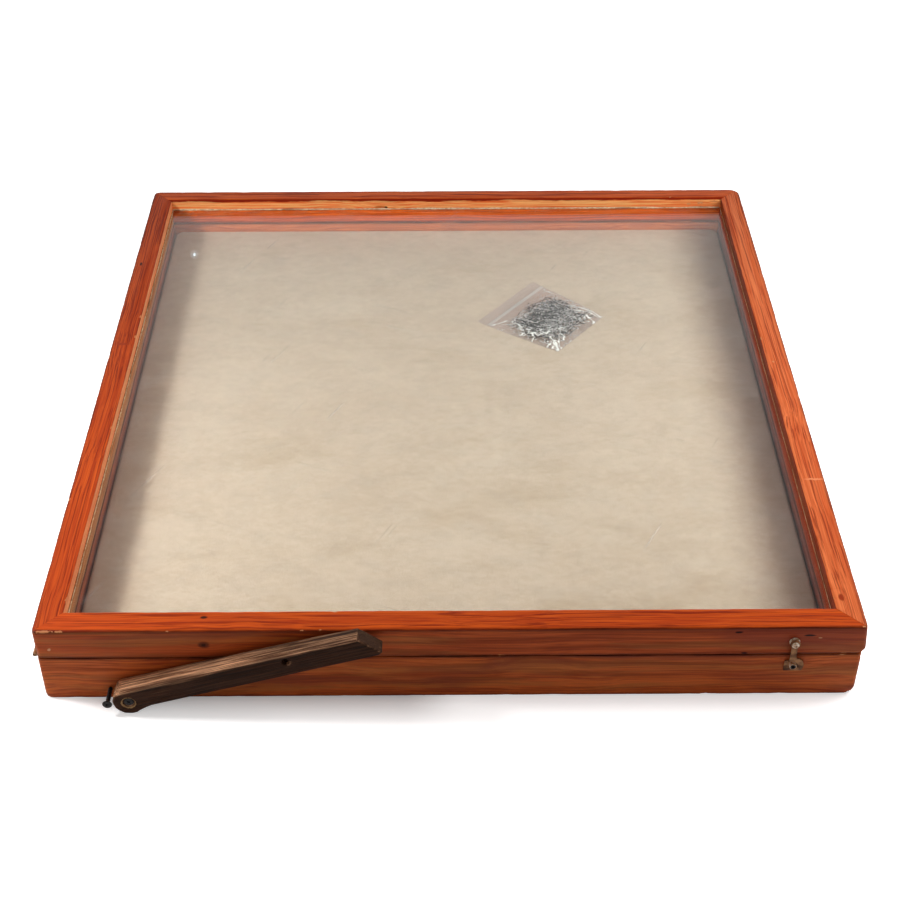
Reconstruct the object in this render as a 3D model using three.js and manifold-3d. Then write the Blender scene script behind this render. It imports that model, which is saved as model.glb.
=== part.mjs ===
// A glazed display case for pinned insects: a shallow wooden tray with a felt-covered
// pinning board, a hinged glass lid, a hook latch, a swivelling prop leg, and a bag of
// pins lying on the felt. Millimetres, +Z up, origin at the centre of the underside.
import * as THREE from 'three';
import { mergeVertices } from 'three/addons/utils/BufferGeometryUtils.js';
import Module from 'manifold-3d';

const wasm = await Module();
wasm.setup();

// ---- driving dimensions -------------------------------------------------------------
const GAP = 0.3;                 // clearance between pieces that touch
const CASE_WIDTH = 650;          // along X
const CASE_DEPTH = 686;          // along Y
const TRAY_HEIGHT = 45.2;
const SEAM = 0.6;                // open line between tray and lid
const LID_HEIGHT = 29.2;
const RAIL = 21.5;               // thickness of every frame rail
const CORNER_RADIUS = 3.5;       // worn upright corners of the case
const EDGE = 1.2;                // worn long edges of the rails

const PANEL_THICKNESS = 5;       // plywood bottom, let into a rebate
const PANEL_REBATE = 8;
const FELT_TOP = 36.5;           // height of the cloth above the underside
const FELT_THICKNESS = 1.2;
const FELT_SKIRT = 14;           // how far the cloth is turned down over the board
const FELT_MARGIN = 1.5;         // dark gap between cloth and rails
const FELT_CORNER = 10;

const GLASS_THICKNESS = 3;
const GLASS_DROP = 10.6;         // glass face below the top of the lid
const GROOVE_DEPTH = 6;          // the pane is held in a saw groove
const PUTTY = 2;                 // bead of putty along the glass

const HINGE_BARREL = 1.9;        // radius of the knuckles
const HINGE_PIN = 0.7;
const HINGE_BORE = 1.05;
const HINGE_LEAF = 0.8;
const HINGE_LEAF_WIDTH = 11;
const HINGE_END = 4;             // hinge stops this far short of each end
const HINGE_KNUCKLES = 27;
const HINGE_REBATE = 0.95;

const LEG_ANGLE = 17;            // degrees above the table, as it rests
const LEG_PIVOT = [-254.3, 13];  // X and Z of its screw
const LEG_THICKNESS = 17;
const LEG_TAPER = 3.2;           // thinner towards the foot, on the case side
const LEG_OFF_CASE = 0.8;
const LEG_END_RADIUS = 12.8;     // rounded end, centred on the screw
const LEG_LOWER = 8.5;           // lower side, below the screw's centre line
const LEG_TOP_LENGTH = 195.3;    // screw to the foot along the upper side
const LEG_FOOT_ANGLE = 53.7;     // slanted foot, from the leg's own line
const LEG_HOLE = [134.7, 6.3];   // spare hole, along and above the centre line
const LEG_HOLE_RADIUS = 3.2;

const STOP_SCREW = [-271.4, 11.5];
const SCREW_SHANK = 1.9;
const SCREW_HEAD = 4;
const SCREW_IN_WOOD = 13;

const HOOK_PIVOT = [269.4, 60.2];
const STUD = [270.3, 36.9];
const STUD_RADIUS = 2.8;
const HOOK_THICKNESS = 1.3;
const HOOK_OFF_CASE = 2.9;
const HOOK_EYE = 4;
const HOOK_ARM = 4.6;
const CLAW_INNER = 4.1;
const CLAW_OUTER = 8.5;
const CLAW_END = -25;            // degrees below the stud's centre line

const BAG_CENTRE = [102.8, 138.7];
const BAG_TURN = -39;            // direction from the zip to the bottom of the bag
const BAG_LENGTH = 83.4;
const BAG_MOUTH = 94.7;
const BAG_BOTTOM = 79.2;
const BAG_FLAP = 12;             // clear film beyond the zip
const BAG_HEIGHT = 11;
const BAG_EDGE = 1.4;
const BAG_FILM = 0.4;

// ---- places worked out from them ----------------------------------------------------
const LID_BASE = TRAY_HEIGHT + SEAM;
const FRONT = -CASE_DEPTH / 2;
const GLASS_TOP = LID_HEIGHT - GLASS_DROP;
const GLASS_BASE = GLASS_TOP - GLASS_THICKNESS;
const HINGE_AXIS = [-CASE_WIDTH / 2 - HINGE_BARREL - GAP, TRAY_HEIGHT + SEAM / 2];

const material = (color, roughness, metalness = 0) =>
  new THREE.MeshStandardMaterial({ color, roughness, metalness });
const LID_WOOD = material(0xc2502a, 0.45);
const TRAY_WOOD = material(0x8a4525, 0.5);
const LEG_WOOD = material(0x54392a, 0.75);
const PLYWOOD = material(0xc9a475, 0.8);
const SOFT_BOARD = material(0xb39a74, 0.9);
const FELT = material(0xcdb79d, 0.95);
const GLASS = new THREE.MeshStandardMaterial({
  color: 0xe8f2ee, roughness: 0.03, transparent: true, opacity: 0.25,
});
const PUTTY_WHITE = material(0xd8ccb4, 0.9);
const BRASS = material(0xa08458, 0.4, 1);
const BLACK_STEEL = material(0x2a2a2c, 0.45, 0.8);
const FILM = new THREE.MeshStandardMaterial({
  color: 0xf2f4f6, roughness: 0.15, transparent: true, opacity: 0.4,
});
const PIN_STEEL = material(0xb9bcc0, 0.3, 1);

const caseGroup = new THREE.Group();

function addMesh(name, geometry, surface) {
  const mesh = new THREE.Mesh(geometry, surface.clone());
  mesh.name = name;
  caseGroup.add(mesh);
  return mesh;
}

// ---- solids: joining and cutting ----------------------------------------------------
function toSolid(geometry) {
  const bare = geometry.clone();
  bare.deleteAttribute('normal');
  bare.deleteAttribute('uv');
  const merged = mergeVertices(bare, 1e-4);
  return new wasm.Manifold(new wasm.Mesh({
    numProp: 3,
    vertProperties: new Float32Array(merged.attributes.position.array),
    triVerts: new Uint32Array(merged.index.array),
  }));
}

function toGeometry(solid) {
  const mesh = solid.getMesh();
  const geometry = new THREE.BufferGeometry();
  geometry.setAttribute('position', new THREE.BufferAttribute(mesh.vertProperties, 3));
  geometry.setIndex(new THREE.BufferAttribute(mesh.triVerts, 1));
  geometry.computeVertexNormals();
  return geometry;
}

function cut(geometry, tools) {
  const solid = tools.reduce((left, tool) => left.subtract(toSolid(tool)), toSolid(geometry));
  return toGeometry(solid);
}

function join(geometries) {
  const [first, ...rest] = geometries.map(toSolid);
  return toGeometry(rest.reduce((sum, solid) => sum.add(solid), first));
}

// ---- shapes shared by several pieces ------------------------------------------------
function roundedRectangle(width, depth, radius) {
  const x = width / 2;
  const y = depth / 2;
  const shape = new THREE.Shape();
  shape.moveTo(x - radius, -y);
  shape.absarc(x - radius, radius - y, radius, -Math.PI / 2, 0);
  shape.absarc(x - radius, y - radius, radius, 0, Math.PI / 2);
  shape.absarc(radius - x, y - radius, radius, Math.PI / 2, Math.PI);
  shape.absarc(radius - x, radius - y, radius, Math.PI, Math.PI * 1.5);
  return shape;
}

function extrude(shape, depth, curveSegments = 6) {
  return new THREE.ExtrudeGeometry(shape, { depth, curveSegments, bevelEnabled: false });
}

function box(width, depth, height, x, y, z) {
  return new THREE.BoxGeometry(width, depth, height).translate(x, y, z + height / 2);
}

// Turned piece on an axis that leaves the case towards the front. Each profile entry is
// [radius, distance in front of the face]; negative distances are inside the wood.
function turned(profile, [x, z], segments = 16) {
  const points = profile.map(([radius, out]) => new THREE.Vector2(radius, out));
  const lathe = new THREE.LatheGeometry(points, segments);
  return lathe.rotateX(Math.PI).translate(x, FRONT, z);
}

const frontHole = (radius, from, to, place) =>
  turned([[0, from], [radius, from], [radius, to], [0, to]], place);

// ---- frame rails --------------------------------------------------------------------
// The section is drawn with u inwards from the outer face and v upwards. The ends are
// mitred, so each end steps back by the vertex's own distance from the outer face.
function mitredRail(section, length, halfSpan, height) {
  const shape = new THREE.Shape(section.map(([u, v]) => new THREE.Vector2(u, v)));
  const rail = extrude(shape, length);
  const place = rail.attributes.position;
  for (let i = 0; i < place.count; i += 1) {
    const u = place.getX(i);
    const v = place.getY(i);
    const end = length / 2 - u - GAP / 2;
    const along = place.getZ(i) > length / 2 ? end : -end;
    place.setXYZ(i, along, u - halfSpan, v);
  }
  const outline = extrude(roundedRectangle(length, 2 * halfSpan, CORNER_RADIUS), height);
  return toGeometry(toSolid(rail).intersect(toSolid(outline)));
}

function traySection(hinged) {
  const top = TRAY_HEIGHT;
  const upper = hinged
    ? [[HINGE_LEAF_WIDTH + 2 * GAP, top], [HINGE_LEAF_WIDTH + 2 * GAP, top - HINGE_REBATE],
      [0, top - HINGE_REBATE]]
    : [[EDGE / 2, top], [0, top - EDGE / 2]];
  return [
    [0, EDGE], [EDGE, 0], [RAIL - PANEL_REBATE, 0],
    [RAIL - PANEL_REBATE, PANEL_THICKNESS + GAP], [RAIL, PANEL_THICKNESS + GAP],
    [RAIL, top - EDGE / 2], [RAIL - EDGE / 2, top], ...upper,
  ];
}

function lidSection(hinged) {
  const top = LID_HEIGHT;
  const lower = hinged
    ? [[0, HINGE_REBATE], [HINGE_LEAF_WIDTH + 2 * GAP, HINGE_REBATE],
      [HINGE_LEAF_WIDTH + 2 * GAP, 0]]
    : [[0, EDGE / 2], [EDGE / 2, 0]];
  return [
    ...lower, [RAIL - EDGE / 2, 0], [RAIL, EDGE / 2],
    [RAIL, GLASS_BASE - GAP], [RAIL - GROOVE_DEPTH, GLASS_BASE - GAP],
    [RAIL - GROOVE_DEPTH, GLASS_TOP + GAP], [RAIL, GLASS_TOP + GAP],
    [RAIL, top - EDGE], [RAIL - EDGE, top], [EDGE, top], [0, top - EDGE],
  ];
}

const SIDES = [
  { side: 'front', turn: 0, length: CASE_WIDTH, halfSpan: CASE_DEPTH / 2 },
  { side: 'right', turn: 1, length: CASE_DEPTH, halfSpan: CASE_WIDTH / 2 },
  { side: 'back', turn: 2, length: CASE_WIDTH, halfSpan: CASE_DEPTH / 2 },
  { side: 'left', turn: 3, length: CASE_DEPTH, halfSpan: CASE_WIDTH / 2 },
];

function addTrayRails() {
  const drilled = [LEG_PIVOT, STOP_SCREW].map((place) =>
    frontHole(SCREW_SHANK + GAP, -SCREW_IN_WOOD - 1, 1, place));
  for (const { side, turn, length, halfSpan } of SIDES) {
    const whole = mitredRail(traySection(side === 'left'), length, halfSpan, TRAY_HEIGHT);
    const rail = side === 'front' ? cut(whole, drilled) : whole;
    addMesh(`tray_${side}`, rail, TRAY_WOOD).rotation.z = turn * Math.PI / 2;
  }
}

function addLidRails() {
  const [pivotX, pivotZ] = HOOK_PIVOT;
  const drilled = [frontHole(1.4 + GAP, -10, 1, [pivotX, pivotZ - LID_BASE])];
  for (const { side, turn, length, halfSpan } of SIDES) {
    const whole = mitredRail(lidSection(side === 'left'), length, halfSpan, LID_HEIGHT);
    const rail = side === 'front' ? cut(whole, drilled) : whole;
    const mesh = addMesh(`lid_${side}`, rail, LID_WOOD);
    mesh.rotation.z = turn * Math.PI / 2;
    mesh.position.z = LID_BASE;
  }
}

// ---- bottom, pinning board and felt -------------------------------------------------
function addTrayFloor() {
  const rebateInset = 2 * (RAIL - PANEL_REBATE + GAP);
  const panel = box(CASE_WIDTH - rebateInset, CASE_DEPTH - rebateInset, PANEL_THICKNESS, 0, 0, 0);
  addMesh('bottom_panel', panel, PLYWOOD);

  const feltWidth = CASE_WIDTH - 2 * (RAIL + FELT_MARGIN);
  const feltDepth = CASE_DEPTH - 2 * (RAIL + FELT_MARGIN);
  const inset = 2 * FELT_THICKNESS;
  const pocket = roundedRectangle(feltWidth - inset, feltDepth - inset, FELT_CORNER - FELT_THICKNESS);
  const boardInset = inset + 2 * GAP;
  const boardCorner = FELT_CORNER - FELT_THICKNESS - GAP;
  const boardShape = roundedRectangle(feltWidth - boardInset, feltDepth - boardInset, boardCorner);
  const boardBase = PANEL_THICKNESS + GAP;
  const boardTop = FELT_TOP - FELT_THICKNESS - GAP;
  const board = extrude(boardShape, boardTop - boardBase).translate(0, 0, boardBase);
  addMesh('pinning_board', board, SOFT_BOARD);

  const cloth = extrude(roundedRectangle(feltWidth, feltDepth, FELT_CORNER), FELT_SKIRT);
  const hollow = extrude(pocket, FELT_SKIRT).translate(0, 0, -FELT_THICKNESS);
  const felt = cut(cloth, [hollow]).translate(0, 0, FELT_TOP - FELT_SKIRT);
  addMesh('felt_lining', felt, FELT);
}

// ---- glass and its putty ------------------------------------------------------------
function addGlazing() {
  const inset = 2 * (RAIL - GROOVE_DEPTH + GAP);
  const pane = box(CASE_WIDTH - inset, CASE_DEPTH - inset, GLASS_THICKNESS, 0, 0, LID_BASE + GLASS_BASE);
  addMesh('glass_pane', pane, GLASS);

  const base = GLASS_TOP + GAP;
  const bead = [[RAIL + GAP, base], [RAIL + GAP + PUTTY, base], [RAIL + GAP, base + PUTTY]];
  for (const { side, turn, length, halfSpan } of SIDES) {
    const strip = mitredRail(bead, length, halfSpan, LID_HEIGHT);
    const mesh = addMesh(`putty_${side}`, strip, PUTTY_WHITE);
    mesh.rotation.z = turn * Math.PI / 2;
    mesh.position.z = LID_BASE;
  }
}

// ---- piano hinge along the left side ------------------------------------------------
// Knuckles alternate between the leaves; each leaf is notched round the other's knuckles,
// and its ends are cut on the slant of the mitred corners.
function hingeLeaf(parity, leafBase) {
  const length = CASE_DEPTH - 2 * HINGE_END;
  const pitch = length / HINGE_KNUCKLES;
  const [axisX, axisZ] = HINGE_AXIS;
  const notchEdge = axisX + HINGE_BARREL + 2 * GAP;
  const tip = HINGE_LEAF_WIDTH - CASE_WIDTH / 2;
  const half = length / 2;
  const innerHalf = half - (tip - notchEdge);
  const outline = [[notchEdge, -half], [tip, -innerHalf], [tip, innerHalf], [notchEdge, half]];
  const plate = new THREE.Shape(outline.map(([x, y]) => new THREE.Vector2(x, y)));
  const pieces = [extrude(plate, HINGE_LEAF).translate(0, 0, leafBase)];
  const bores = [];
  for (let i = parity; i < HINGE_KNUCKLES; i += 2) {
    const y = (i + 0.5) * pitch - length / 2;
    const knuckle = new THREE.CylinderGeometry(HINGE_BARREL, HINGE_BARREL, pitch - GAP, 12);
    pieces.push(knuckle.translate(axisX, y, axisZ));
    const reach = notchEdge + 1 - axisX;
    pieces.push(box(reach, pitch - GAP, HINGE_LEAF, axisX + reach / 2, y, leafBase));
    const bore = new THREE.CylinderGeometry(HINGE_BORE, HINGE_BORE, pitch + 1, 12);
    bores.push(bore.translate(axisX, y, axisZ));
  }
  return cut(join(pieces), bores);
}

function addHinge() {
  const [axisX, axisZ] = HINGE_AXIS;
  const offset = GAP / 2;
  addMesh('hinge_leaf_tray', hingeLeaf(0, axisZ - offset - HINGE_LEAF), BRASS);
  addMesh('hinge_leaf_lid', hingeLeaf(1, axisZ + offset), BRASS);
  const length = CASE_DEPTH - 2 * HINGE_END;
  const pin = new THREE.CylinderGeometry(HINGE_PIN, HINGE_PIN, length, 8);
  addMesh('hinge_pin', pin, BRASS).position.set(axisX, 0, axisZ);
}

// ---- hook latch ---------------------------------------------------------------------
function hookShape() {
  const [pivotX, pivotZ] = HOOK_PIVOT;
  const studX = STUD[0] - pivotX;
  const studZ = STUD[1] - pivotZ;
  const half = HOOK_ARM / 2;
  const end = CLAW_END * Math.PI / 180;
  const armAngle = Math.asin(half / HOOK_EYE);
  const clawTop = studZ + CLAW_OUTER;
  const shape = new THREE.Shape();
  shape.moveTo(half, -HOOK_EYE * Math.cos(armAngle));
  shape.absarc(0, 0, HOOK_EYE, armAngle - Math.PI / 2, Math.PI * 1.5 - armAngle);
  shape.lineTo(-half - 0.2, clawTop);
  shape.lineTo(-half - 0.6, studZ + CLAW_INNER + 1);
  shape.lineTo(studX - 1.4, studZ + CLAW_INNER);
  shape.absarc(studX, studZ, CLAW_INNER, Math.PI / 2, end, true);
  shape.absarc(studX, studZ, CLAW_OUTER, end, Math.PI / 2 - 0.35);
  shape.quadraticCurveTo(half, clawTop, half, clawTop + 3);
  const eye = new THREE.Path();
  eye.absarc(0, 0, 1.4 + GAP + 0.1, 0, Math.PI * 2);
  shape.holes.push(eye);
  return shape;
}

function addHook() {
  const [pivotX, pivotZ] = HOOK_PIVOT;
  const hook = extrude(hookShape(), HOOK_THICKNESS, 10).rotateX(Math.PI / 2);
  addMesh('hook', hook, BRASS).position.set(pivotX, FRONT - HOOK_OFF_CASE, pivotZ);

  const front = HOOK_OFF_CASE + HOOK_THICKNESS + GAP;
  const screw = turned([
    [0, -9], [1.4, -8.5], [1.4, GAP], [4.2, GAP], [4.2, 1.1], [3.4, 2.1], [1.4, HOOK_OFF_CASE - GAP],
    [1.4, front], [2.9, front], [2.9, front + 0.5], [2.1, front + 1.3], [0, front + 1.6],
  ], HOOK_PIVOT);
  addMesh('hook_screw', screw, BRASS);

  const plateCentre = [STUD[0] + 1.2, STUD[1] - 3];
  const plate = extrude(roundedRectangle(14.6, 11, 0.8), 0.8, 2).rotateX(Math.PI / 2);
  addMesh('catch_plate', plate, BRASS).position.set(plateCentre[0], FRONT - GAP, plateCentre[1]);

  const base = 0.8 + 2 * GAP;
  const stud = turned([
    [0, base], [STUD_RADIUS, base], [STUD_RADIUS, 5.2], [STUD_RADIUS - 0.5, 5.6],
    [1.3, 5.6], [1.3, 2], [0, 2],
  ], STUD);
  addMesh('catch_stud', stud, BRASS);
}

// ---- swivelling leg with its screws -------------------------------------------------
function legShape() {
  const footSlant = (LEG_END_RADIUS + LEG_LOWER) / Math.tan(LEG_FOOT_ANGLE * Math.PI / 180);
  const foot = LEG_TOP_LENGTH + footSlant;
  const shape = new THREE.Shape();
  shape.moveTo(LEG_TOP_LENGTH, LEG_END_RADIUS);
  shape.lineTo(0, LEG_END_RADIUS);
  shape.absarc(0, 0, LEG_END_RADIUS, Math.PI / 2, Math.PI * 1.5 + 0.2);
  shape.quadraticCurveTo(8, -LEG_LOWER - 1.2, 16, -LEG_LOWER);
  shape.lineTo(foot - 5, -LEG_LOWER);
  shape.lineTo(foot - 1.4, -LEG_LOWER + 1.9);
  return shape;
}

function taperLeg(geometry) {
  const place = geometry.attributes.position;
  for (let i = 0; i < place.count; i += 1) {
    const inBack = 1 - place.getZ(i) / LEG_THICKNESS;
    const along = Math.max(0, place.getX(i)) / LEG_TOP_LENGTH;
    place.setZ(i, place.getZ(i) + LEG_TAPER * along * inBack);
  }
}

function addLeg() {
  const edge = 1.1;
  const leg = new THREE.ExtrudeGeometry(legShape(), {
    depth: LEG_THICKNESS - 2 * edge, curveSegments: 14, bevelEnabled: true,
    bevelThickness: edge, bevelSize: edge, bevelOffset: -edge, bevelSegments: 1,
  }).translate(0, 0, edge);
  taperLeg(leg);
  const drill = (radius, x, z) =>
    new THREE.CylinderGeometry(radius, radius, 40, 16).rotateX(Math.PI / 2).translate(x, z, 0);
  const sinkDepth = 4;
  const sink = new THREE.CylinderGeometry(SCREW_SHANK + GAP, 5.9, sinkDepth, 20)
    .rotateX(-Math.PI / 2).translate(0, 0, LEG_THICKNESS - sinkDepth / 2 + 0.01);
  const holes = [drill(SCREW_SHANK + GAP, 0, 0), drill(LEG_HOLE_RADIUS, ...LEG_HOLE), sink];
  const body = cut(leg, holes).rotateX(Math.PI / 2);
  const mesh = addMesh('leg', body, LEG_WOOD);
  mesh.position.set(LEG_PIVOT[0], FRONT - LEG_OFF_CASE, LEG_PIVOT[1]);
  mesh.rotation.y = -LEG_ANGLE * Math.PI / 180;
}

// A countersunk wood screw whose flat head lies `out` in front of the case.
function woodScrew(out) {
  return [
    [0, -SCREW_IN_WOOD], [SCREW_SHANK * 0.6, 2 - SCREW_IN_WOOD], [SCREW_SHANK, 6 - SCREW_IN_WOOD],
    [SCREW_SHANK, out - 3.2], [SCREW_HEAD, out - 0.6], [SCREW_HEAD - 0.3, out], [0, out],
  ];
}

function addScrews() {
  const legFace = LEG_OFF_CASE + LEG_THICKNESS;
  addMesh('leg_screw', turned(woodScrew(legFace - 1.1), LEG_PIVOT), BLACK_STEEL);
  addMesh('stop_screw', turned(woodScrew(18.2), STOP_SCREW), BLACK_STEEL);
}

// ---- bag of pins --------------------------------------------------------------------
const smooth = (t) => {
  const x = Math.min(1, Math.max(0, t));
  return x * x * (3 - 2 * x);
};

// Fullness of the bag, 0 at the welded sides and the zip, 1 over the heap of pins.
function fullness(across, along) {
  const sides = Math.sin(Math.PI * across) ** 0.7;
  const ends = smooth(along / 0.42) * smooth((1 - along) / 0.22);
  return sides * ends;
}

// A pillow over the bag's outline. `inset` draws it in from the welded sides, `from` and
// `to` are distances along the bag, and lower and upper give its two faces.
function pillow(inset, from, to, lower, upper, steps = 14) {
  const positions = [];
  const index = [];
  const width = steps + 1;
  for (const face of [lower, upper]) {
    for (let j = 0; j <= steps; j += 1) {
      for (let i = 0; i <= steps; i += 1) {
        const x = from + (to - from) * j / steps;
        const along = Math.min(1, Math.max(0, x / BAG_LENGTH));
        const full = BAG_MOUTH + (BAG_BOTTOM - BAG_MOUTH) * along;
        const y = (i / steps - 0.5) * (full - 2 * inset);
        positions.push(x - BAG_LENGTH / 2, y, face(y / full + 0.5, along));
      }
    }
  }
  const top = width * width;
  const quad = (a, b, c, d) => index.push(a, b, c, a, c, d);
  for (let j = 0; j < steps; j += 1) {
    for (let i = 0; i < steps; i += 1) {
      const a = j * width + i;
      quad(a, a + 1, a + width + 1, a + width);
      quad(top + a, top + a + width, top + a + width + 1, top + a + 1);
    }
  }
  const lastRow = steps * width;
  for (let i = 0; i < steps; i += 1) {
    quad(i, top + i, top + i + 1, i + 1);
    quad(lastRow + i + 1, top + lastRow + i + 1, top + lastRow + i, lastRow + i);
    const left = i * width;
    const right = i * width + steps;
    quad(left, left + width, top + left + width, top + left);
    quad(right + width, right, top + right, top + right + width);
  }
  const geometry = new THREE.BufferGeometry();
  geometry.setAttribute('position', new THREE.Float32BufferAttribute(positions, 3));
  geometry.setIndex(index);
  geometry.computeVertexNormals();
  return geometry;
}

function addPinBag() {
  const seam = 3;
  const flat = () => 0;
  const outerTop = (across, along) => BAG_EDGE + (BAG_HEIGHT - BAG_EDGE) * fullness(across, along);
  const outer = pillow(0, -BAG_FLAP, BAG_LENGTH, flat, outerTop);
  const pocketTop = (across, along) => outerTop(across, along) - BAG_FILM;
  const pocket = pillow(seam, -BAG_FLAP - 1, BAG_LENGTH - seam, () => BAG_FILM, pocketTop);
  const film = cut(outer, [pocket]);

  const heapTop = (across, along) => pocketTop(across, along) - GAP;
  const heap = pillow(seam + 4, 18, BAG_LENGTH - seam - 3, () => BAG_FILM + GAP, heapTop, 12);

  for (const [name, geometry, surface] of [['pin_bag', film, FILM], ['pin_heap', heap, PIN_STEEL]]) {
    const mesh = addMesh(name, geometry, surface);
    mesh.position.set(BAG_CENTRE[0], BAG_CENTRE[1], FELT_TOP + GAP);
    mesh.rotation.z = BAG_TURN * Math.PI / 180;
  }
}

addTrayRails();
addTrayFloor();
addLidRails();
addGlazing();
addHinge();
addHook();
addLeg();
addScrews();
addPinBag();

export default caseGroup;
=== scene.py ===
"""Looks of a glazed case for pinned insects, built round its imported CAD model.

Units are metres, in the row frame: +Z up, the front of the case faces -Y.
"""

import math
import random

import bmesh
import bpy
import numpy as np
from mathutils import Matrix, Vector, noise


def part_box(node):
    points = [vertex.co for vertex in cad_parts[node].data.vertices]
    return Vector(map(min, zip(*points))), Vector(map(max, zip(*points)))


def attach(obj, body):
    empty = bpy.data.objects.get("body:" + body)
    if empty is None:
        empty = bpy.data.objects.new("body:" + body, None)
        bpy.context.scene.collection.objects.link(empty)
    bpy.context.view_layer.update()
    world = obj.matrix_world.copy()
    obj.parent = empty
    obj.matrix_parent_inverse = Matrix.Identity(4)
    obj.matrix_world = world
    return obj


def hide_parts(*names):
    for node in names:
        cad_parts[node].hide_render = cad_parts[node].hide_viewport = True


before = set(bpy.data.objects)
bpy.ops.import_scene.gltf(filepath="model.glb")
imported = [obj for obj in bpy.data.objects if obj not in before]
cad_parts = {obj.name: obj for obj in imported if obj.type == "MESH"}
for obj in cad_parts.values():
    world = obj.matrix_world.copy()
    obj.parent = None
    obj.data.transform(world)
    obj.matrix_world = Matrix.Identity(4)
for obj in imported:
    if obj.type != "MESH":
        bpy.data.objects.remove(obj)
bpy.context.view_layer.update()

MM = 0.001

# ---- camera --------------------------------------------------------------------------
CAMERA_PLACE = Vector((-3.25, -1210.1, 947.05)) * MM
CAMERA_LENS = 63.05
CAMERA_PITCH = math.radians(38.66)
CAMERA_YAW = math.radians(-0.24)
CAMERA_ROLL = math.radians(-0.15)

# ---- the case, read from the frame ---------------------------------------------------
GAP = 0.3 * MM
CASE_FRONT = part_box("tray_front")[0].y
CASE_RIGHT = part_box("tray_right")[1].x
CASE_WIDTH = 2 * CASE_RIGHT
CASE_DEPTH = -2 * CASE_FRONT
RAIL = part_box("tray_front")[1].y - CASE_FRONT
TRAY_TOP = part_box("tray_front")[1].z
LID_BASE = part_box("lid_front")[0].z
LID_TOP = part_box("lid_front")[1].z
PANE_LOW, PANE_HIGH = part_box("glass_pane")
GROOVE_WALL = CASE_RIGHT - PANE_HIGH.x - GAP
PANEL_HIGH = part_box("bottom_panel")[1]
PANEL_REBATE = CASE_RIGHT - PANEL_HIGH.x - GAP
FELT_LOW, FELT_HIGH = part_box("felt_lining")

CORNER_RADIUS = 3.5 * MM
EDGE = 1.4 * MM
SOFT_EDGE = 0.7 * MM
INNER_EDGE = 0.9 * MM
HINGE_REBATE_WIDTH = 11.6 * MM
HINGE_REBATE_DEPTH = 0.95 * MM


def srgb(red, green, blue):
    """A display colour, 0 to 255, as linear RGBA."""
    def linear(value):
        value /= 255
        return value / 12.92 if value <= 0.04045 else ((value + 0.055) / 1.055) ** 2.4

    return (linear(red), linear(green), linear(blue), 1.0)


def smoothstep(value):
    value = min(1.0, max(0.0, value))
    return value * value * (3 - 2 * value)


# ---- node trees ----------------------------------------------------------------------
class Value:
    """What a node gives out. Arithmetic with it adds nodes to its graph."""

    def __init__(self, graph, socket):
        self.graph = graph
        self.socket = socket

    def __add__(self, other):
        return self.graph.math("ADD", self, other)

    def __sub__(self, other):
        return self.graph.math("SUBTRACT", self, other)

    def __rsub__(self, other):
        return self.graph.math("SUBTRACT", other, self)

    def __mul__(self, other):
        return self.graph.math("MULTIPLY", self, other)

    def __truediv__(self, other):
        return self.graph.math("DIVIDE", self, other)


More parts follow.
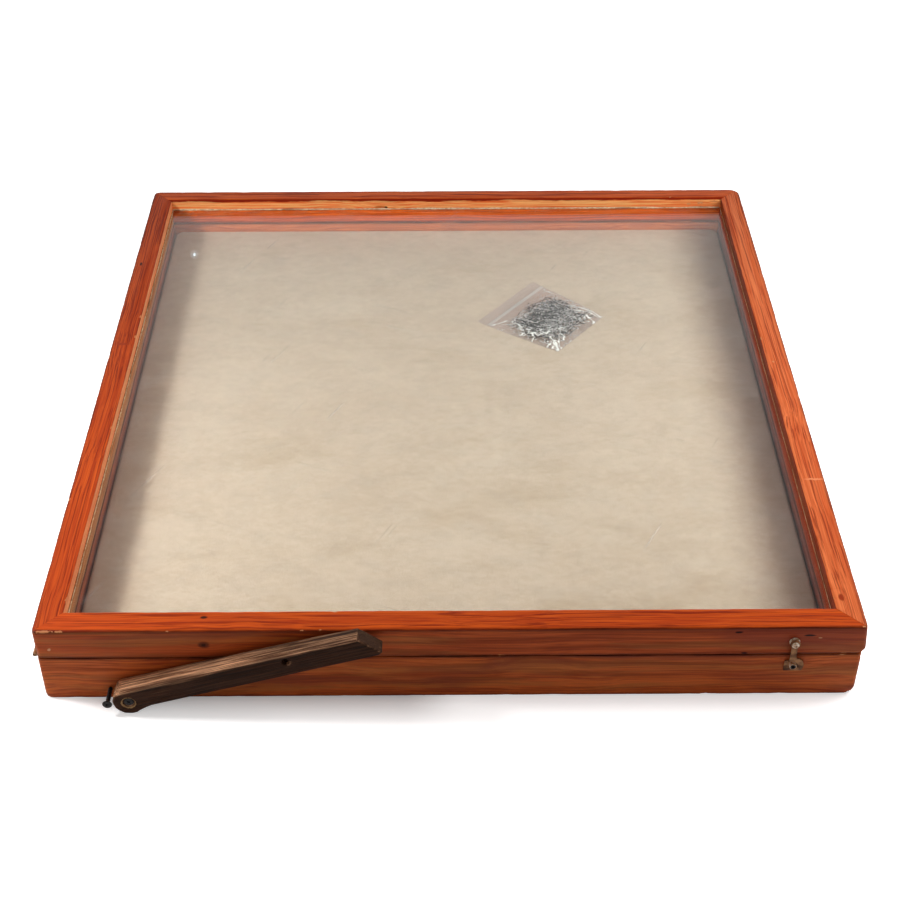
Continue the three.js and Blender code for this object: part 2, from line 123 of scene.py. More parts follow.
class Graph:
    """Short calls that build the node tree of a material or a world."""

    def __init__(self, owner):
        owner.use_nodes = True
        self.owner = owner
        self.tree = owner.node_tree

    def node(self, kind, inputs=None, out=0, **settings):
        made = self.tree.nodes.new("ShaderNode" + kind)
        for key, value in settings.items():
            setattr(made, key, value)
        self.feed(made, inputs or {})
        return Value(self, made.outputs[out])

    def feed(self, node, inputs):
        for key, value in inputs.items():
            if isinstance(value, Value):
                self.tree.links.new(value.socket, node.inputs[key])
            else:
                node.inputs[key].default_value = value

    def set(self, **inputs):
        """Feeds the main shader; underscores in a name stand for spaces."""
        named = {key.replace("_", " "): value for key, value in inputs.items()}
        self.feed(self.tree.nodes["Principled BSDF"], named)
        return self.owner

    def show(self, shader):
        """Shows this shader in place of the main one."""
        output = next(node for node in self.tree.nodes if node.type.startswith("OUTPUT"))
        self.tree.links.new(shader.socket, output.inputs["Surface"])
        if "Principled BSDF" in self.tree.nodes:
            self.tree.nodes.remove(self.tree.nodes["Principled BSDF"])
        return self.owner

    def math(self, operation, a, b=0.0):
        """Arithmetic on numbers, or on vectors where one of the two is a vector."""
        kinds = [value.socket.type for value in (a, b) if isinstance(value, Value)]
        kind = "VectorMath" if "VECTOR" in kinds else "Math"
        return self.node(kind, {0: a, 1: b}, operation=operation)

    def length(self, vector):
        return self.node("VectorMath", {0: vector}, "Value", operation="LENGTH")

    def place(self):
        return self.node("TexCoord", out="Object")

    def attribute(self, name, out="Fac"):
        return self.node("Attribute", out=out, attribute_name=name)

    def split(self, vector):
        parts = self.node("SeparateXYZ", {"Vector": vector}).socket.node.outputs
        return [Value(self, part) for part in parts]

    def join(self, x, y, z=0.0):
        return self.node("CombineXYZ", {0: x, 1: y, 2: z})

    def noise(self, place, stretch, detail=3, roughness=0.5, distortion=0.0):
        """Cloudy noise, 0 to 1; stretch is how fine it is, for each axis or the same for all."""
        if not isinstance(stretch, tuple):
            stretch = (stretch, stretch, stretch)
        inputs = {"Vector": place * stretch, "Scale": 1.0, "Detail": detail, "Roughness": roughness,
                  "Distortion": distortion}
        return self.node("TexNoise", inputs, "Fac")

    def smooth(self, value, low, high, to_low=0.0, to_high=1.0):
        inputs = {"Value": value, "From Min": low, "From Max": high, "To Min": to_low, "To Max": to_high}
        return self.node("MapRange", inputs, "Result", interpolation_type="SMOOTHSTEP")

    def ramp(self, value, stops):
        made = self.node("ValToRGB", {"Fac": value}, "Color")
        elements = made.socket.node.color_ramp.elements
        while len(elements) < len(stops):
            elements.new(1.0)
        for element, (position, level) in zip(elements, stops):
            element.position = position
            element.color = (level, level, level, 1)
        return made

    def mix(self, factor, a, b, blend="MIX"):
        inputs = {0: factor, 6: a, 7: b}
        return self.node("Mix", inputs, 2, data_type="RGBA", blend_type=blend, clamp_factor=True)

    def mix_shaders(self, factor, a, b):
        return self.node("MixShader", {0: factor, 1: a, 2: b})

    def bump(self, height, distance, strength):
        return self.node("Bump", {"Height": height, "Distance": distance, "Strength": strength}, "Normal")

    def spot(self, place, centre, size, softness=0.5):
        """1 inside an ellipsoid at centre, falling to 0 at its edge."""
        return self.smooth(self.length((place - centre) / size), softness, 1.0, 1.0, 0.0)


def new_material(name):
    return Graph(bpy.data.materials.new(name))


# ---- wood ----------------------------------------------------------------------------
TOPS = {
    "front": (srgb(234, 100, 26), srgb(182, 56, 14), srgb(134, 34, 8)),
    "right": (srgb(252, 140, 80), srgb(206, 80, 34), srgb(150, 42, 16)),
    "back": (srgb(250, 118, 46), srgb(202, 74, 28), srgb(142, 40, 14)),
    "left": (srgb(222, 94, 28), srgb(168, 50, 14), srgb(122, 30, 8)),
}
LID_SIDES = (srgb(216, 102, 46), srgb(156, 66, 34))
TRAY_SIDES = (srgb(232, 120, 56), srgb(168, 72, 34))
BROWN = (srgb(206, 122, 62), srgb(154, 82, 42))
PURPLE = srgb(140, 58, 46)
STAIN_RUN = srgb(112, 44, 36)
RAW = (srgb(244, 168, 104), srgb(206, 108, 50))
LIP_RED = srgb(168, 58, 22)
WELL = (srgb(150, 92, 74), srgb(110, 62, 48))
SPLINTER = srgb(238, 176, 124)
PALE_SCRATCH = srgb(244, 150, 98)
# Near-black for grime marks and grimy edges, and for painted shade in the seam between lid and tray
GRIME_AND_SHADE = srgb(42, 13, 10)
KNOT = srgb(70, 30, 16)
KNOT_RING = srgb(116, 54, 28)

RING = 3.4 * MM
RING_BEND = 16 * MM
KNOT_SWELL = 4 * MM
LID_SWAY = 10 * MM
TRAY_SWAY = 24 * MM
STREAKS = {"front": 5.5 * MM, "right": 4.5 * MM, "back": 4.5 * MM, "left": 4.5 * MM}
STREAK_LENGTH = 0.22
PITHS = {
    "front": Vector((0, -0.318, -0.02)),
    "right": Vector((0, -0.29, -0.03)),
    "back": Vector((0, -0.30, 0.0)),
    "left": Vector((0, -0.275, 0.01)),
}


def rings(g, place, pith, bend, knots=()):
    """Growth rings round a pith line that runs along the rail: 0 in early wood, 1 in late."""
    wander = (g.noise(place, (5, 40, 40), detail=2) - 0.5) * bend
    radius = g.length((place - pith) * (0, 1, 1)) + wander
    for centre, size in knots:
        radius = radius + g.spot(place, centre, size, 0.1) * KNOT_SWELL
    phase = g.math("FRACT", radius / RING)
    return g.ramp(phase, [(0.0, 0.15), (0.35, 0.25), (0.72, 0.7), (0.86, 1.0), (1.0, 0.15)])


def swayed(g, place, sway):
    """Places shifted so that the grain wanders slowly up and down along the board."""
    shift = (g.noise(place, (7, 9, 9), detail=2) - 0.5) * sway
    return place + g.join(0.0, shift, shift)


def fibres(g, place):
    return g.noise(place, (26, 1300, 1300), detail=4, roughness=0.65)


def streaks(g, place, width, length=STREAK_LENGTH):
    """Long uneven streaks of about this width, 0 to 1."""
    raw = g.noise(place, (1 / length, 1 / width, 1 / width), detail=4, roughness=0.62)
    return g.smooth(raw, 0.32, 0.68)


def stained_wood(name, seed, side, wall, top=None, knots=(), marks=()):
    """Stained pine of a lid rail, which has a top colour, or of a tray rail.

    The object's X runs along the grain; the outer face is at low Y.
    """
    g = new_material(name)
    place = g.place()
    _x, y, z = g.split(place)
    shift = Vector((0.83, 0.011, 0.017)) * seed
    moved = swayed(g, place + shift, LID_SWAY if top else TRAY_SWAY)
    grain = rings(g, moved, PITHS[side], RING_BEND, [(centre + shift, size) for centre, size in knots])
    broad = streaks(g, moved, STREAKS[side])
    lines = streaks(g, moved + (1, 1, 1), STREAKS[side] * 0.34, 0.12)
    strand = fibres(g, moved)
    jitter = (g.noise(moved, (60, 500, 500)) - 0.5) * (2.4 * MM)
    tone = grain * 0.4 + lines * 0.6

    colour = side_wood(g, moved, LID_SIDES if top else TRAY_SIDES, grain, broad, lines)
    if top:
        on_top = g.smooth(z + jitter * 0.35, LID_TOP - 1.0 * MM, LID_TOP - 0.5 * MM)
        colour = stain_runs(g, colour, moved, z)
        colour = g.mix(on_top, colour, top_wood(g, moved, top, grain, broad, lines))
        colour = inner_walls(g, colour, moved, y, z, tone, wall)
    else:
        inside = g.smooth(y, wall["face"] - 0.8 * MM, wall["face"] - 0.3 * MM)
        colour = g.mix(inside, colour, g.mix(tone, *wall["well"]))
    colour = g.mix(0.6, colour, g.mix(strand, (0.6, 0.6, 0.6, 1), (1.4, 1.4, 1.4, 1)), "MULTIPLY")
    # Darker along the outer edges and corners as grime, and along the lid and tray seam as painted shade.
    grime_and_seam_shade = g.attribute("rim") * g.smooth(g.noise(moved, (30, 160, 160)), 0.3, 0.6, 0.6, 1.0)
    colour = g.mix(grime_and_seam_shade, colour, GRIME_AND_SHADE)
    wobbly = place + g.join(jitter, jitter, jitter)
    for centre, size, tint in marks:
        colour = g.mix(g.spot(wobbly, centre, size), colour, tint)
    splinters = g.smooth(g.attribute("wear") + strand * 0.5, 0.75, 0.95)
    colour = g.mix(splinters, colour, g.mix(strand, RAW[1], SPLINTER))
    relief = g.bump(lines * 0.5 + strand * 0.6, 0.22 * MM, 0.7)
    gloss = g.smooth(broad + splinters, 0.2, 1.6, 0.4, 0.75)
    return g.set(Base_Color=colour, Roughness=gloss, Normal=relief, Specular_IOR_Level=0.16)


def top_wood(g, moved, tones, grain, broad, lines):
    """The lid's bright top: light streaks, and dark red lines between them."""
    light, dark, line = tones
    fine = streaks(g, moved + (5, 5, 5), 1.3 * MM, 0.09)
    colour = g.mix(broad * 0.45 + grain * 0.2 + fine * 0.4, light, dark)
    return g.mix(g.smooth(lines, 0.55, 0.95, 0.0, 0.75), colour, line)


def side_wood(g, moved, tones, grain, broad, lines):
    """Duller faces: soft flames of light and dark, with brown and purplish patches."""
    tone = broad * 0.5 + grain * 0.25 + lines * 0.25
    colour = g.mix(g.smooth(tone, 0.1, 1.0), *tones)
    brown = g.smooth(g.noise(moved, (6, 80, 80), detail=4), 0.47, 0.62, 0.0, 0.75)
    colour = g.mix(brown, colour, g.mix(broad, *BROWN))
    purple = g.smooth(g.noise(moved + (3, 3, 3), (5, 40, 40), detail=4), 0.54, 0.68, 0.0, 0.5)
    return g.mix(purple, colour, PURPLE)


def stain_runs(g, colour, moved, z):
    """Dark stain gathered under the lid's top edge."""
    depth = g.noise(moved, (9, 20, 20), detail=4) * (9 * MM)
    band = g.smooth(z + depth, LID_TOP + 0.5 * MM, LID_TOP + 4 * MM)
    return g.mix(band * 0.45, colour, STAIN_RUN)


def inner_walls(g, colour, moved, y, z, tone, wall):
    """Inside of the lid: raw wood under a ragged stained lip, and a duller wall below the glass."""
    tone = g.smooth(tone, 0.2, 0.8)
    start = wall["face"] - wall["chamfer"] - 0.8 * MM
    under = g.smooth(z, LID_TOP - 0.5 * MM, LID_TOP - 0.2 * MM, 1.0, 0.0)
    inside = g.smooth(y, start, start + 0.5 * MM) * under
    wave = g.noise(moved, (9, 30, 30), detail=2) * wall["lip"]
    drips = g.noise(moved, (40, 200, 420), detail=4, roughness=0.6) * wall["lip"]
    lip = g.smooth(z + (wave + drips), LID_TOP + 0.3 * MM, LID_TOP + 1.0 * MM)
    bare = g.mix(lip, g.mix(tone, *wall["raw"]), wall["stain"])
    below = g.smooth(z, PANE_LOW.z - 0.5 * MM, PANE_LOW.z + 0.5 * MM, 1.0, 0.0)
    bare = g.mix(below, bare, g.mix(tone, *wall["low"]))
    return g.mix(inside, colour, bare)


def leg_wood():
    """Dark, dry wood with open grain, paler where it is worn and, as painted light, on its upward faces."""
    g = new_material("leg_wood")
    place = g.attribute("grain", "Vector")
    ridges = streaks(g, place, 1.5 * MM, 0.06)
    strand = streaks(g, place + (2, 2, 2), 0.5 * MM, 0.03)
    tone = ridges * 0.45 + strand * 0.55
    colour = g.mix(tone, srgb(28, 17, 12), srgb(102, 66, 46))
    # Paler where worn, and on faces that look up: painted light on the leg's lit top.
    rubbed_and_lit = g.smooth(g.attribute("wear") + (tone - 0.5) * 0.4, 0.25, 0.95)
    pale = g.mix(g.smooth(tone, 0.25, 0.8), srgb(128, 84, 56), srgb(252, 192, 146))
    colour = g.mix(rubbed_and_lit, colour, pale)
    patches = g.smooth(g.noise(place, (12, 70, 70)), 0.5, 0.7, 0.0, 0.6)
    colour = g.mix(patches, colour, g.mix(tone, srgb(22, 13, 9), srgb(70, 44, 30)))
    end_grain = g.mix(strand, srgb(58, 40, 32), srgb(112, 84, 66))
    colour = g.mix(g.attribute("end") * 0.7, colour, end_grain)
    colour = g.mix(g.smooth(g.attribute("raw"), 0.4, 0.6), colour, srgb(206, 168, 118))
    rough = g.smooth(strand, 0.2, 0.8, 0.6, 0.8)
    return g.set(Base_Color=colour, Roughness=rough, Normal=g.bump(tone, 0.7 * MM, 0.9),
                 Specular_IOR_Level=0.2)


def plywood():
    g = new_material("plywood")
    place = g.place()
    strand = fibres(g, place)
    tone = rings(g, place, Vector((0, 0, -90 * MM)), 30 * MM) * 0.5 + strand * 0.6
    colour = g.mix(g.smooth(tone, 0.2, 1.0), srgb(206, 170, 122), srgb(164, 120, 76))
    stain = g.smooth(g.noise(place, (4, 5, 5), detail=4), 0.5, 0.7, 0.0, 0.4)
    colour = g.mix(stain, colour, srgb(128, 92, 60))
    return g.set(Base_Color=colour, Roughness=0.72, Normal=g.bump(strand, 0.15 * MM, 0.6))


def softboard():
    g = new_material("softboard")
    chips = g.node("TexVoronoi", {"Vector": g.place(), "Scale": 420.0}, "Distance", feature="F1")
    colour = g.mix(g.smooth(chips, 0.1, 0.7), srgb(196, 168, 128), srgb(150, 118, 82))
    return g.set(Base_Color=colour, Roughness=0.9, Normal=g.bump(chips, 0.3 * MM, 0.6))


# ---- felt, glass, putty --------------------------------------------------------------
FELT_TONES = (srgb(202, 175, 154), srgb(216, 191, 172))
FELT_STAIN = srgb(182, 152, 124)
# Painted shade on the felt by the left and right rails, tinted red like light bounced off them
FELT_SHADE_BY_LEFT = (0.80, 0.67, 0.64, 1)
FELT_SHADE_BY_RIGHT = (0.60, 0.51, 0.51, 1)
FELT_LEFT_BAND = 60 * MM
FELT_RIGHT_BAND = 70 * MM


def felt():
    """Napped cloth with faint stains, and painted shade of the rails along its two sides."""
    g = new_material("felt")
    place = g.place()
    nap = g.noise(place, (520, 460, 520), roughness=0.7)
    tufts = g.noise(place, (130, 170, 150), roughness=0.6)
    clouds = g.noise(place, (9, 16, 10), detail=4, roughness=0.6)
    tone = g.smooth(nap * 0.4 + tufts * 0.5 + clouds * 0.5, 0.5, 0.9)
    stains = g.smooth(g.noise(place, (9, 20, 20), detail=5, roughness=0.6), 0.52, 0.72, 0.0, 0.34)
    colour = g.mix(stains, g.mix(tone, *FELT_TONES), FELT_STAIN)
    # Painted shade: the felt is darker towards the left and right rails.
    x = g.split(place)[0]
    shade_by_left = g.smooth(x, FELT_LOW.x, FELT_LOW.x + FELT_LEFT_BAND, 0.9, 0.0)
    shade_by_right = g.smooth(x, FELT_HIGH.x - FELT_RIGHT_BAND, FELT_HIGH.x)
    colour = g.mix(shade_by_left, colour, FELT_SHADE_BY_LEFT, "MULTIPLY")
    colour = g.mix(shade_by_right, colour, FELT_SHADE_BY_RIGHT, "MULTIPLY")
    pile = g.bump(nap * 0.7 + tufts * 0.4, 0.5 * MM, 0.7)
    g.set(Sheen_Weight=0.25, Sheen_Roughness=0.5, Sheen_Tint=(1.0, 0.93, 0.85, 1.0))
    return g.set(Base_Color=colour, Roughness=0.95, Normal=pile)


def scratch_lines(g, place, turn, fineness):
    """Thin straight lines in one direction, broken into short lengths."""
    turned = g.node("VectorRotate", {"Vector": place, "Angle": math.radians(turn)}, rotation_type="Z_AXIS")
    line = g.smooth(g.noise(turned, (6, fineness, 1), detail=1), 0.735, 0.76)
    return line * g.smooth(g.noise(turned, (16, 40, 1), detail=2), 0.52, 0.62)


def glass():
    """Clear pane that lets lamps through, with a little dust and a few fine scratches."""
    g = new_material("pane")
    place = g.place()
    haze = g.smooth(g.noise(place, (30, 44, 30), detail=6, roughness=0.7), 0.4, 0.75, 0.0, 0.03)
    marks = g.math("MAXIMUM", scratch_lines(g, place, 24, 520), scratch_lines(g, place, -61, 460))
    clear = g.node("BsdfGlass", {"Color": (0.95, 0.975, 0.962, 1), "Roughness": 0.0, "IOR": 1.5})
    film = g.node("BsdfDiffuse", {"Color": (0.9, 0.9, 0.92, 1)})
    dusty = g.mix_shaders(haze + marks * 0.16, clear, film)
    through = g.node("BsdfTransparent", {"Color": (0.93, 0.95, 0.94, 1)})
    return g.show(g.mix_shaders(g.node("LightPath", out="Is Shadow Ray"), dusty, through))


def putty():
    g = new_material("putty")
    crust = g.noise(g.place(), 300, detail=5, roughness=0.7)
    aged = g.smooth(g.noise(g.place(), 24), 0.55, 0.7, 0.0, 0.8)
    colour = g.mix(g.smooth(crust, 0.3, 0.6), srgb(190, 150, 108), srgb(246, 226, 190))
    colour = g.mix(aged, colour, srgb(150, 92, 58))
    return g.set(Base_Color=colour, Roughness=0.85, Normal=g.bump(crust, 0.5 * MM, 0.9))


# ---- metals and film -----------------------------------------------------------------
def brass():
    """Old brass, brown and tarnished."""
    g = new_material("brass")
    place = g.place()
    patina = g.smooth(g.noise(place, 130), 0.36, 0.7)
    speck = g.noise(place, 1500, detail=2)
    colour = g.mix(patina, srgb(178, 130, 88), srgb(86, 54, 36))
    rough = g.smooth(patina + speck * 0.4, 0.1, 1.3, 0.3, 0.55)
    return g.set(Base_Color=colour, Metallic=0.6, Roughness=rough, Normal=g.bump(speck, 0.03 * MM, 0.4))


def rubbed_brass_and_highlight():
    """Brass along the edges, worn bright by hands and near-white as a painted highlight."""
    g = new_material("rubbed_brass_and_highlight")
    worn = g.smooth(g.noise(g.place(), 500), 0.4, 0.6)
    # Near-white colour: painted highlight on worn brass.
    colour = g.mix(worn, srgb(206, 160, 116), srgb(255, 244, 224))
    return g.set(Base_Color=colour, Metallic=0.3, Roughness=0.3)


def black_steel():
    g = new_material("black_steel")
    speck = g.noise(g.place(), 1400)
    colour = g.mix(speck, srgb(24, 24, 26), srgb(74, 72, 72))
    rough = g.smooth(speck, 0.2, 0.8, 0.22, 0.42)
    return g.set(Base_Color=colour, Metallic=0.75, Roughness=rough, Normal=g.bump(speck, 0.05 * MM, 0.4))


def pin_steel():
    """Pins whose brightness is painted per pin: the near-white ones are painted glints on steel, the dark
    ones tarnished; each pin carries its level.
    """
    g = new_material("pin_steel")
    bright = g.smooth(g.attribute("bright") + g.noise(g.place(), 260) * 0.3, 0.45, 0.95)
    # Near-white stands in for glints: a painted highlight.
    colour = g.mix(bright, srgb(32, 26, 28), srgb(255, 247, 243))
    return g.set(Base_Color=colour, Metallic=0.3, Roughness=0.25)


def bag_film():
    """Thin clear film: see-through and glossy, with painted white highlights where it is creased and along
    its seals.
    """
    g = new_material("bag_film")
    wrinkles = g.noise(g.place(), 240, detail=2, distortion=0.8)
    normal = g.bump(wrinkles, 0.8 * MM, 0.6)
    slant = g.node("LayerWeight", {"Blend": 0.3, "Normal": normal}, "Facing")
    white = g.node("BsdfDiffuse", {"Color": (1.0, 0.95, 0.93, 1), "Normal": normal})
    shine = g.node("BsdfGlossy", {"Color": (0.9, 0.9, 1, 1), "Roughness": 0.16, "Normal": normal})
    shadow_ray = g.node("LightPath", out="Is Shadow Ray")
    tint = g.mix(shadow_ray, (0.975, 0.96, 0.985, 1), (0.94, 0.93, 0.93, 1))
    through = g.node("BsdfTransparent", {"Color": tint})
    film = g.mix_shaders(g.smooth(slant, 0.0, 1.0, 0.0, 0.24), through, shine)
    # White along folds and seals: painted highlight, where creased film catches the lamps.
    folded = g.smooth(g.attribute("crease"), 0.35, 0.9, 0.01, 0.95)
    return g.show(g.mix_shaders(folded, film, white))


def zip_film():
    g = new_material("zip_strip")
    pale = g.mix(g.noise(g.place(), 200), srgb(246, 242, 240), srgb(224, 214, 212))
    return g.set(Base_Color=pale, Roughness=0.3, Alpha=0.6)


# ---- mesh helpers --------------------------------------------------------------------
def new_mesh(name, vertices, faces):
    mesh = bpy.data.meshes.new(name)
    mesh.from_pydata([tuple(v) for v in vertices], [], faces)
    return mesh


def new_object(name, data):
    made = bpy.data.objects.new(name, data)
    bpy.context.scene.collection.objects.link(made)
    return made


def settle(made, material, body, replaces=()):
    """Gives a piece its material and its CAD body, and hides the CAD nodes that it replaces."""
    mesh = made.data
    mesh.materials.clear()
    mesh.materials.append(material)
    mesh.polygons.foreach_set("use_smooth", [True] * len(mesh.polygons))
    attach(made, body)
    if replaces:
        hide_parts(*replaces)
    return made


def add_attribute(mesh, name, values):
    layer = mesh.attributes.new(name, "FLOAT", "POINT")
    layer.data.foreach_set("value", np.asarray(values, np.float32))


def add_object(name, vertices, faces, material, body, slot, replaces=(), turn=0.0, **attributes):
    """A mesh in the row frame, or in a frame turned about Z, riding on a CAD body."""
    mesh = new_mesh(name, vertices, faces)
    for key, values in attributes.items():
        add_attribute(mesh, key, values)
    made = new_object(name, mesh)
    made.rotation_euler.z = turn
    return settle(made, material, body, replaces)


def tube_faces(ring_count, count, first=0, capped=True):
    """Quads between neighbouring rings of points, and the two ends if it is capped."""
    last = first + (ring_count - 1) * count
    faces = []
    for ring in range(first, last, count):
        for i in range(count):
            j = (i + 1) % count
            faces.append((ring + i, ring + j, ring + count + j, ring + count + i))
    if capped:
        faces.append(tuple(range(first + count - 1, first - 1, -1)))
        faces.append(tuple(range(last, last + count)))
    return faces


def face_outwards(mesh):
    working = bmesh.new()
    working.from_mesh(mesh)
    bmesh.ops.recalc_face_normals(working, faces=working.faces)
    working.to_mesh(mesh)
    working.free()
    return mesh


def sharpen(made, degrees):
    """Keeps edges steeper than this sharp in a smooth-shaded mesh."""
    working = bmesh.new()
    working.from_mesh(made.data)
    for edge in working.edges:
        edge.smooth = len(edge.link_faces) == 2 and edge.calc_face_angle(0) < math.radians(degrees)
    working.to_mesh(made.data)
    working.free()


def dress(node, material, bevel=0.0, edges=None):
    """Keeps a CAD node, with a new material and, if asked, softened edges of their own material."""
    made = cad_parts[node]
    made.data.materials.clear()
    made.data.materials.append(material)
    if bevel:
        rounded = made.modifiers.new("softened", "BEVEL")
        rounded.width = bevel
        rounded.segments = 2
        rounded.limit_method = "ANGLE"
        rounded.angle_limit = math.radians(40)
        if edges:
            made.data.materials.append(edges)
            rounded.material = 1
    return made


def baked_mesh(made):
    """The mesh that an object's modifiers make. The object itself is removed."""
    bpy.context.view_layer.update()
    mesh = bpy.data.meshes.new_from_object(made.evaluated_get(bpy.context.evaluated_depsgraph_get()))
    bpy.data.objects.remove(made)
    return mesh


# ---- shape of the rails --------------------------------------------------------------
STATION = 2 * MM
FINE_STATION = 0.7 * MM
LEAST_STATION = 0.4 * MM
END_ZONE = 6 * MM
END_STATIONS = 10
ARC_STEPS = 4
CHIP_WIDTH = 1.3 * MM
DEEPEST_WEAR = 3 * MM
RIM_WIDTH = 2.2 * MM


def fillet(before, corner, after, radius):
    """Points and outward normals round a corner of a counter-clockwise outline."""
    here = Vector(corner)
    back, ahead = Vector(before) - here, Vector(after) - here
    longest_reach = 0.45 * min(back.length, ahead.length)
    back.normalize()
    ahead.normalize()
    normal_in = Vector((-back.y, back.x))
    normal_out = Vector((ahead.y, -ahead.x))
    if not radius:
        return [(here, (normal_in + normal_out).normalized())]
    half_angle = math.acos(max(-1.0, min(1.0, back.dot(ahead)))) / 2
    reach = min(radius / math.tan(half_angle), longest_reach)
    radius = reach * math.tan(half_angle)
    centre = here + (back + ahead).normalized() * math.hypot(reach, radius)
    convex = back.x * ahead.y < back.y * ahead.x
    points = []
    for step in range(ARC_STEPS + 1):
        normal = normal_in.lerp(normal_out, step / ARC_STEPS).normalized()
        points.append((centre + normal * (radius if convex else -radius), normal))
    return points


def outline(corners):
    """A rail's section as rows of u, v, normal u, normal v and how exposed the point is."""
    rows = []
    for i, (u, v, radius, worn) in enumerate(corners):
        before, after = corners[i - 1][:2], corners[(i + 1) % len(corners)][:2]
        rows += [(*point, *normal, worn) for point, normal in fillet(before, (u, v), after, radius)]
    filled = []
    for row, following in zip(rows, rows[1:] + rows[:1]):
        filled.append(row)
        du, dv = following[0] - row[0], following[1] - row[1]
        flat_normal = Vector((dv, -du)).normalized()
        pieces = max(1, round(math.hypot(du, dv) / STATION))
        for k in range(1, pieces):
            filled.append((row[0] + du * k / pieces, row[1] + dv * k / pieces, *flat_normal, 0.0))
    return filled


def tray_corners(hinged):
    """A tray rail's section, as corners of u, v, radius and how exposed they are."""
    wide, ledge = HINGE_REBATE_WIDTH, TRAY_TOP - HINGE_REBATE_DEPTH
    rebate = [(wide, TRAY_TOP, 0, 0), (wide, ledge, 0, 0), (0, ledge, SOFT_EDGE, 0.5)]
    return [
        (0, 0, EDGE, 0.8),
        (PANEL_REBATE, 0, SOFT_EDGE, 0.2),
        (PANEL_REBATE, PANEL_HIGH.z + GAP, 0, 0),
        (RAIL, PANEL_HIGH.z + GAP, 0, 0),
        (RAIL, TRAY_TOP, SOFT_EDGE, 0.2),
        *(rebate if hinged else [(0, TRAY_TOP, SOFT_EDGE, 0.6)]),
    ]


def lid_corners(hinged, chamfer):
    """A lid rail's section; a worn chamfer may take its upper inner edge away."""
    wide, ledge = HINGE_REBATE_WIDTH, LID_BASE + HINGE_REBATE_DEPTH
    rebate = [(0, ledge, SOFT_EDGE, 0.5), (wide, ledge, 0, 0), (wide, LID_BASE, 0, 0)]
    worn = [(RAIL, LID_TOP - chamfer / 2, SOFT_EDGE, 0.4), (RAIL - chamfer, LID_TOP, SOFT_EDGE, 0.9)]
    return [
        *(rebate if hinged else [(0, LID_BASE, SOFT_EDGE, 0.7)]),
        (RAIL, LID_BASE, SOFT_EDGE, 0.2),
        (RAIL, PANE_LOW.z - GAP, 0, 0),
        (GROOVE_WALL, PANE_LOW.z - GAP, 0, 0),
        (GROOVE_WALL, PANE_HIGH.z + GAP, 0, 0),
        (RAIL, PANE_HIGH.z + GAP, 0, 0),
        *(worn if chamfer else [(RAIL, LID_TOP, INNER_EDGE, 0.8)]),
        (0, LID_TOP, EDGE, 1.0),
    ]


def stations(half, chips):
    """Places along a rail, from -half to half, closer together at its ends and chips."""
    places = list(np.linspace(-half, half, round(2 * half / STATION) + 1))
    for x, _u, _v, reach, _depth in chips:
        places += list(np.arange(x - reach, x + reach, FINE_STATION))
    for k in range(END_STATIONS):
        near_end = half - END_ZONE + k * END_ZONE / END_STATIONS
        places += [-near_end, near_end]
    kept = [-half]
    for place in sorted(places):
        if place - kept[-1] > LEAST_STATION and place <= half:
            kept.append(place)
    kept[-1] = half
    return kept


def round_plan_corner(along, u, half):
    """Pulls a point in to the case's rounded upright corner."""
    dx, du = abs(along) - (half - CORNER_RADIUS), CORNER_RADIUS - u
    far = math.hypot(dx, du)
    if dx <= 0 or du <= 0 or far <= CORNER_RADIUS:
        return along, u
    part = CORNER_RADIUS / far
    return math.copysign(half - CORNER_RADIUS + dx * part, along), CORNER_RADIUS - du * part


def chipped(x, u, v, chips, fray):
    """How deep the chips are at a point, and how raw the wood is there."""
    ragged = 1 + 0.6 * noise.noise(Vector((x * 700, u * 300, v * 300)))
    depth = raw = 0.0
    for chip_x, chip_u, chip_v, reach, deepest in chips:
        across = math.hypot(u - chip_u, v - chip_v) / max(CHIP_WIDTH, 0.3 * reach)
        near = 1 - (math.hypot((x - chip_x) / reach, across) * ragged) ** 2
        if near > 0:
            depth += deepest * near * near * (0.75 + 0.5 * fray)
            raw = max(raw, 1.05 * near)
    return depth, raw


def rail_mesh(corners, length, seed, chips):
    """Vertices, faces, wear, and edge darkening (grime, and painted shade at the lid and tray seam) of a
    mitred rail whose outer face is at u = 0.
    """
    section = outline(corners)
    half = length / 2
    along_places = stations(half, chips)
    seam = (TRAY_TOP, LID_BASE)
    # Darkened edges: the outer ones for grime, and the seam's edges for painted shade.
    grime_and_shade_edges = [(u, v) for u, v, _radius, _worn in corners if u == 0 or (u == RAIL and v in seam)]
    vertices, wear, rim = [], [], []
    for along in along_places:
        for u, v, normal_u, normal_v, worn in section:
            x, u_here = round_plan_corner(along / half * (half - u - GAP / 2), u, half)
            here = Vector((x, u_here + seed, v))
            rub = noise.fractal(here * 55, 1.0, 2.1, 4)
            fray = noise.noise(here * 240)
            wave = noise.noise(Vector((x * 9, v * 14, seed)))
            depth, raw = chipped(x, u_here, v, chips, fray)
            rubbed_and_lit = worn * (max(0.0, rub) * 0.45 + 0.12 * abs(fray))
            inward = min(DEEPEST_WEAR, (rubbed_and_lit + 0.12 * wave) * MM + depth)
            vertices.append((x, u_here - normal_u * inward, v - normal_v * inward))
            bare = worn * max(0.0, rub * 1.3 + fray * 0.35 - 0.22)
            wear.append(min(1.0, max(bare, raw)))
            near = min(math.hypot(u_here - edge_u, v - edge_v) for edge_u, edge_v in grime_and_shade_edges)
            near = min(near, math.hypot(half - abs(x), u_here))
            rim.append(max(0.0, 1 - near / RIM_WIDTH))
    return vertices, tube_faces(len(along_places), len(section)), wear, rim


# ---- each side of the case -----------------------------------------------------------
# Places and sizes in these tables are in millimetres of the row frame.
SIDES = {"front": 0, "right": 1, "back": 2, "left": 3}

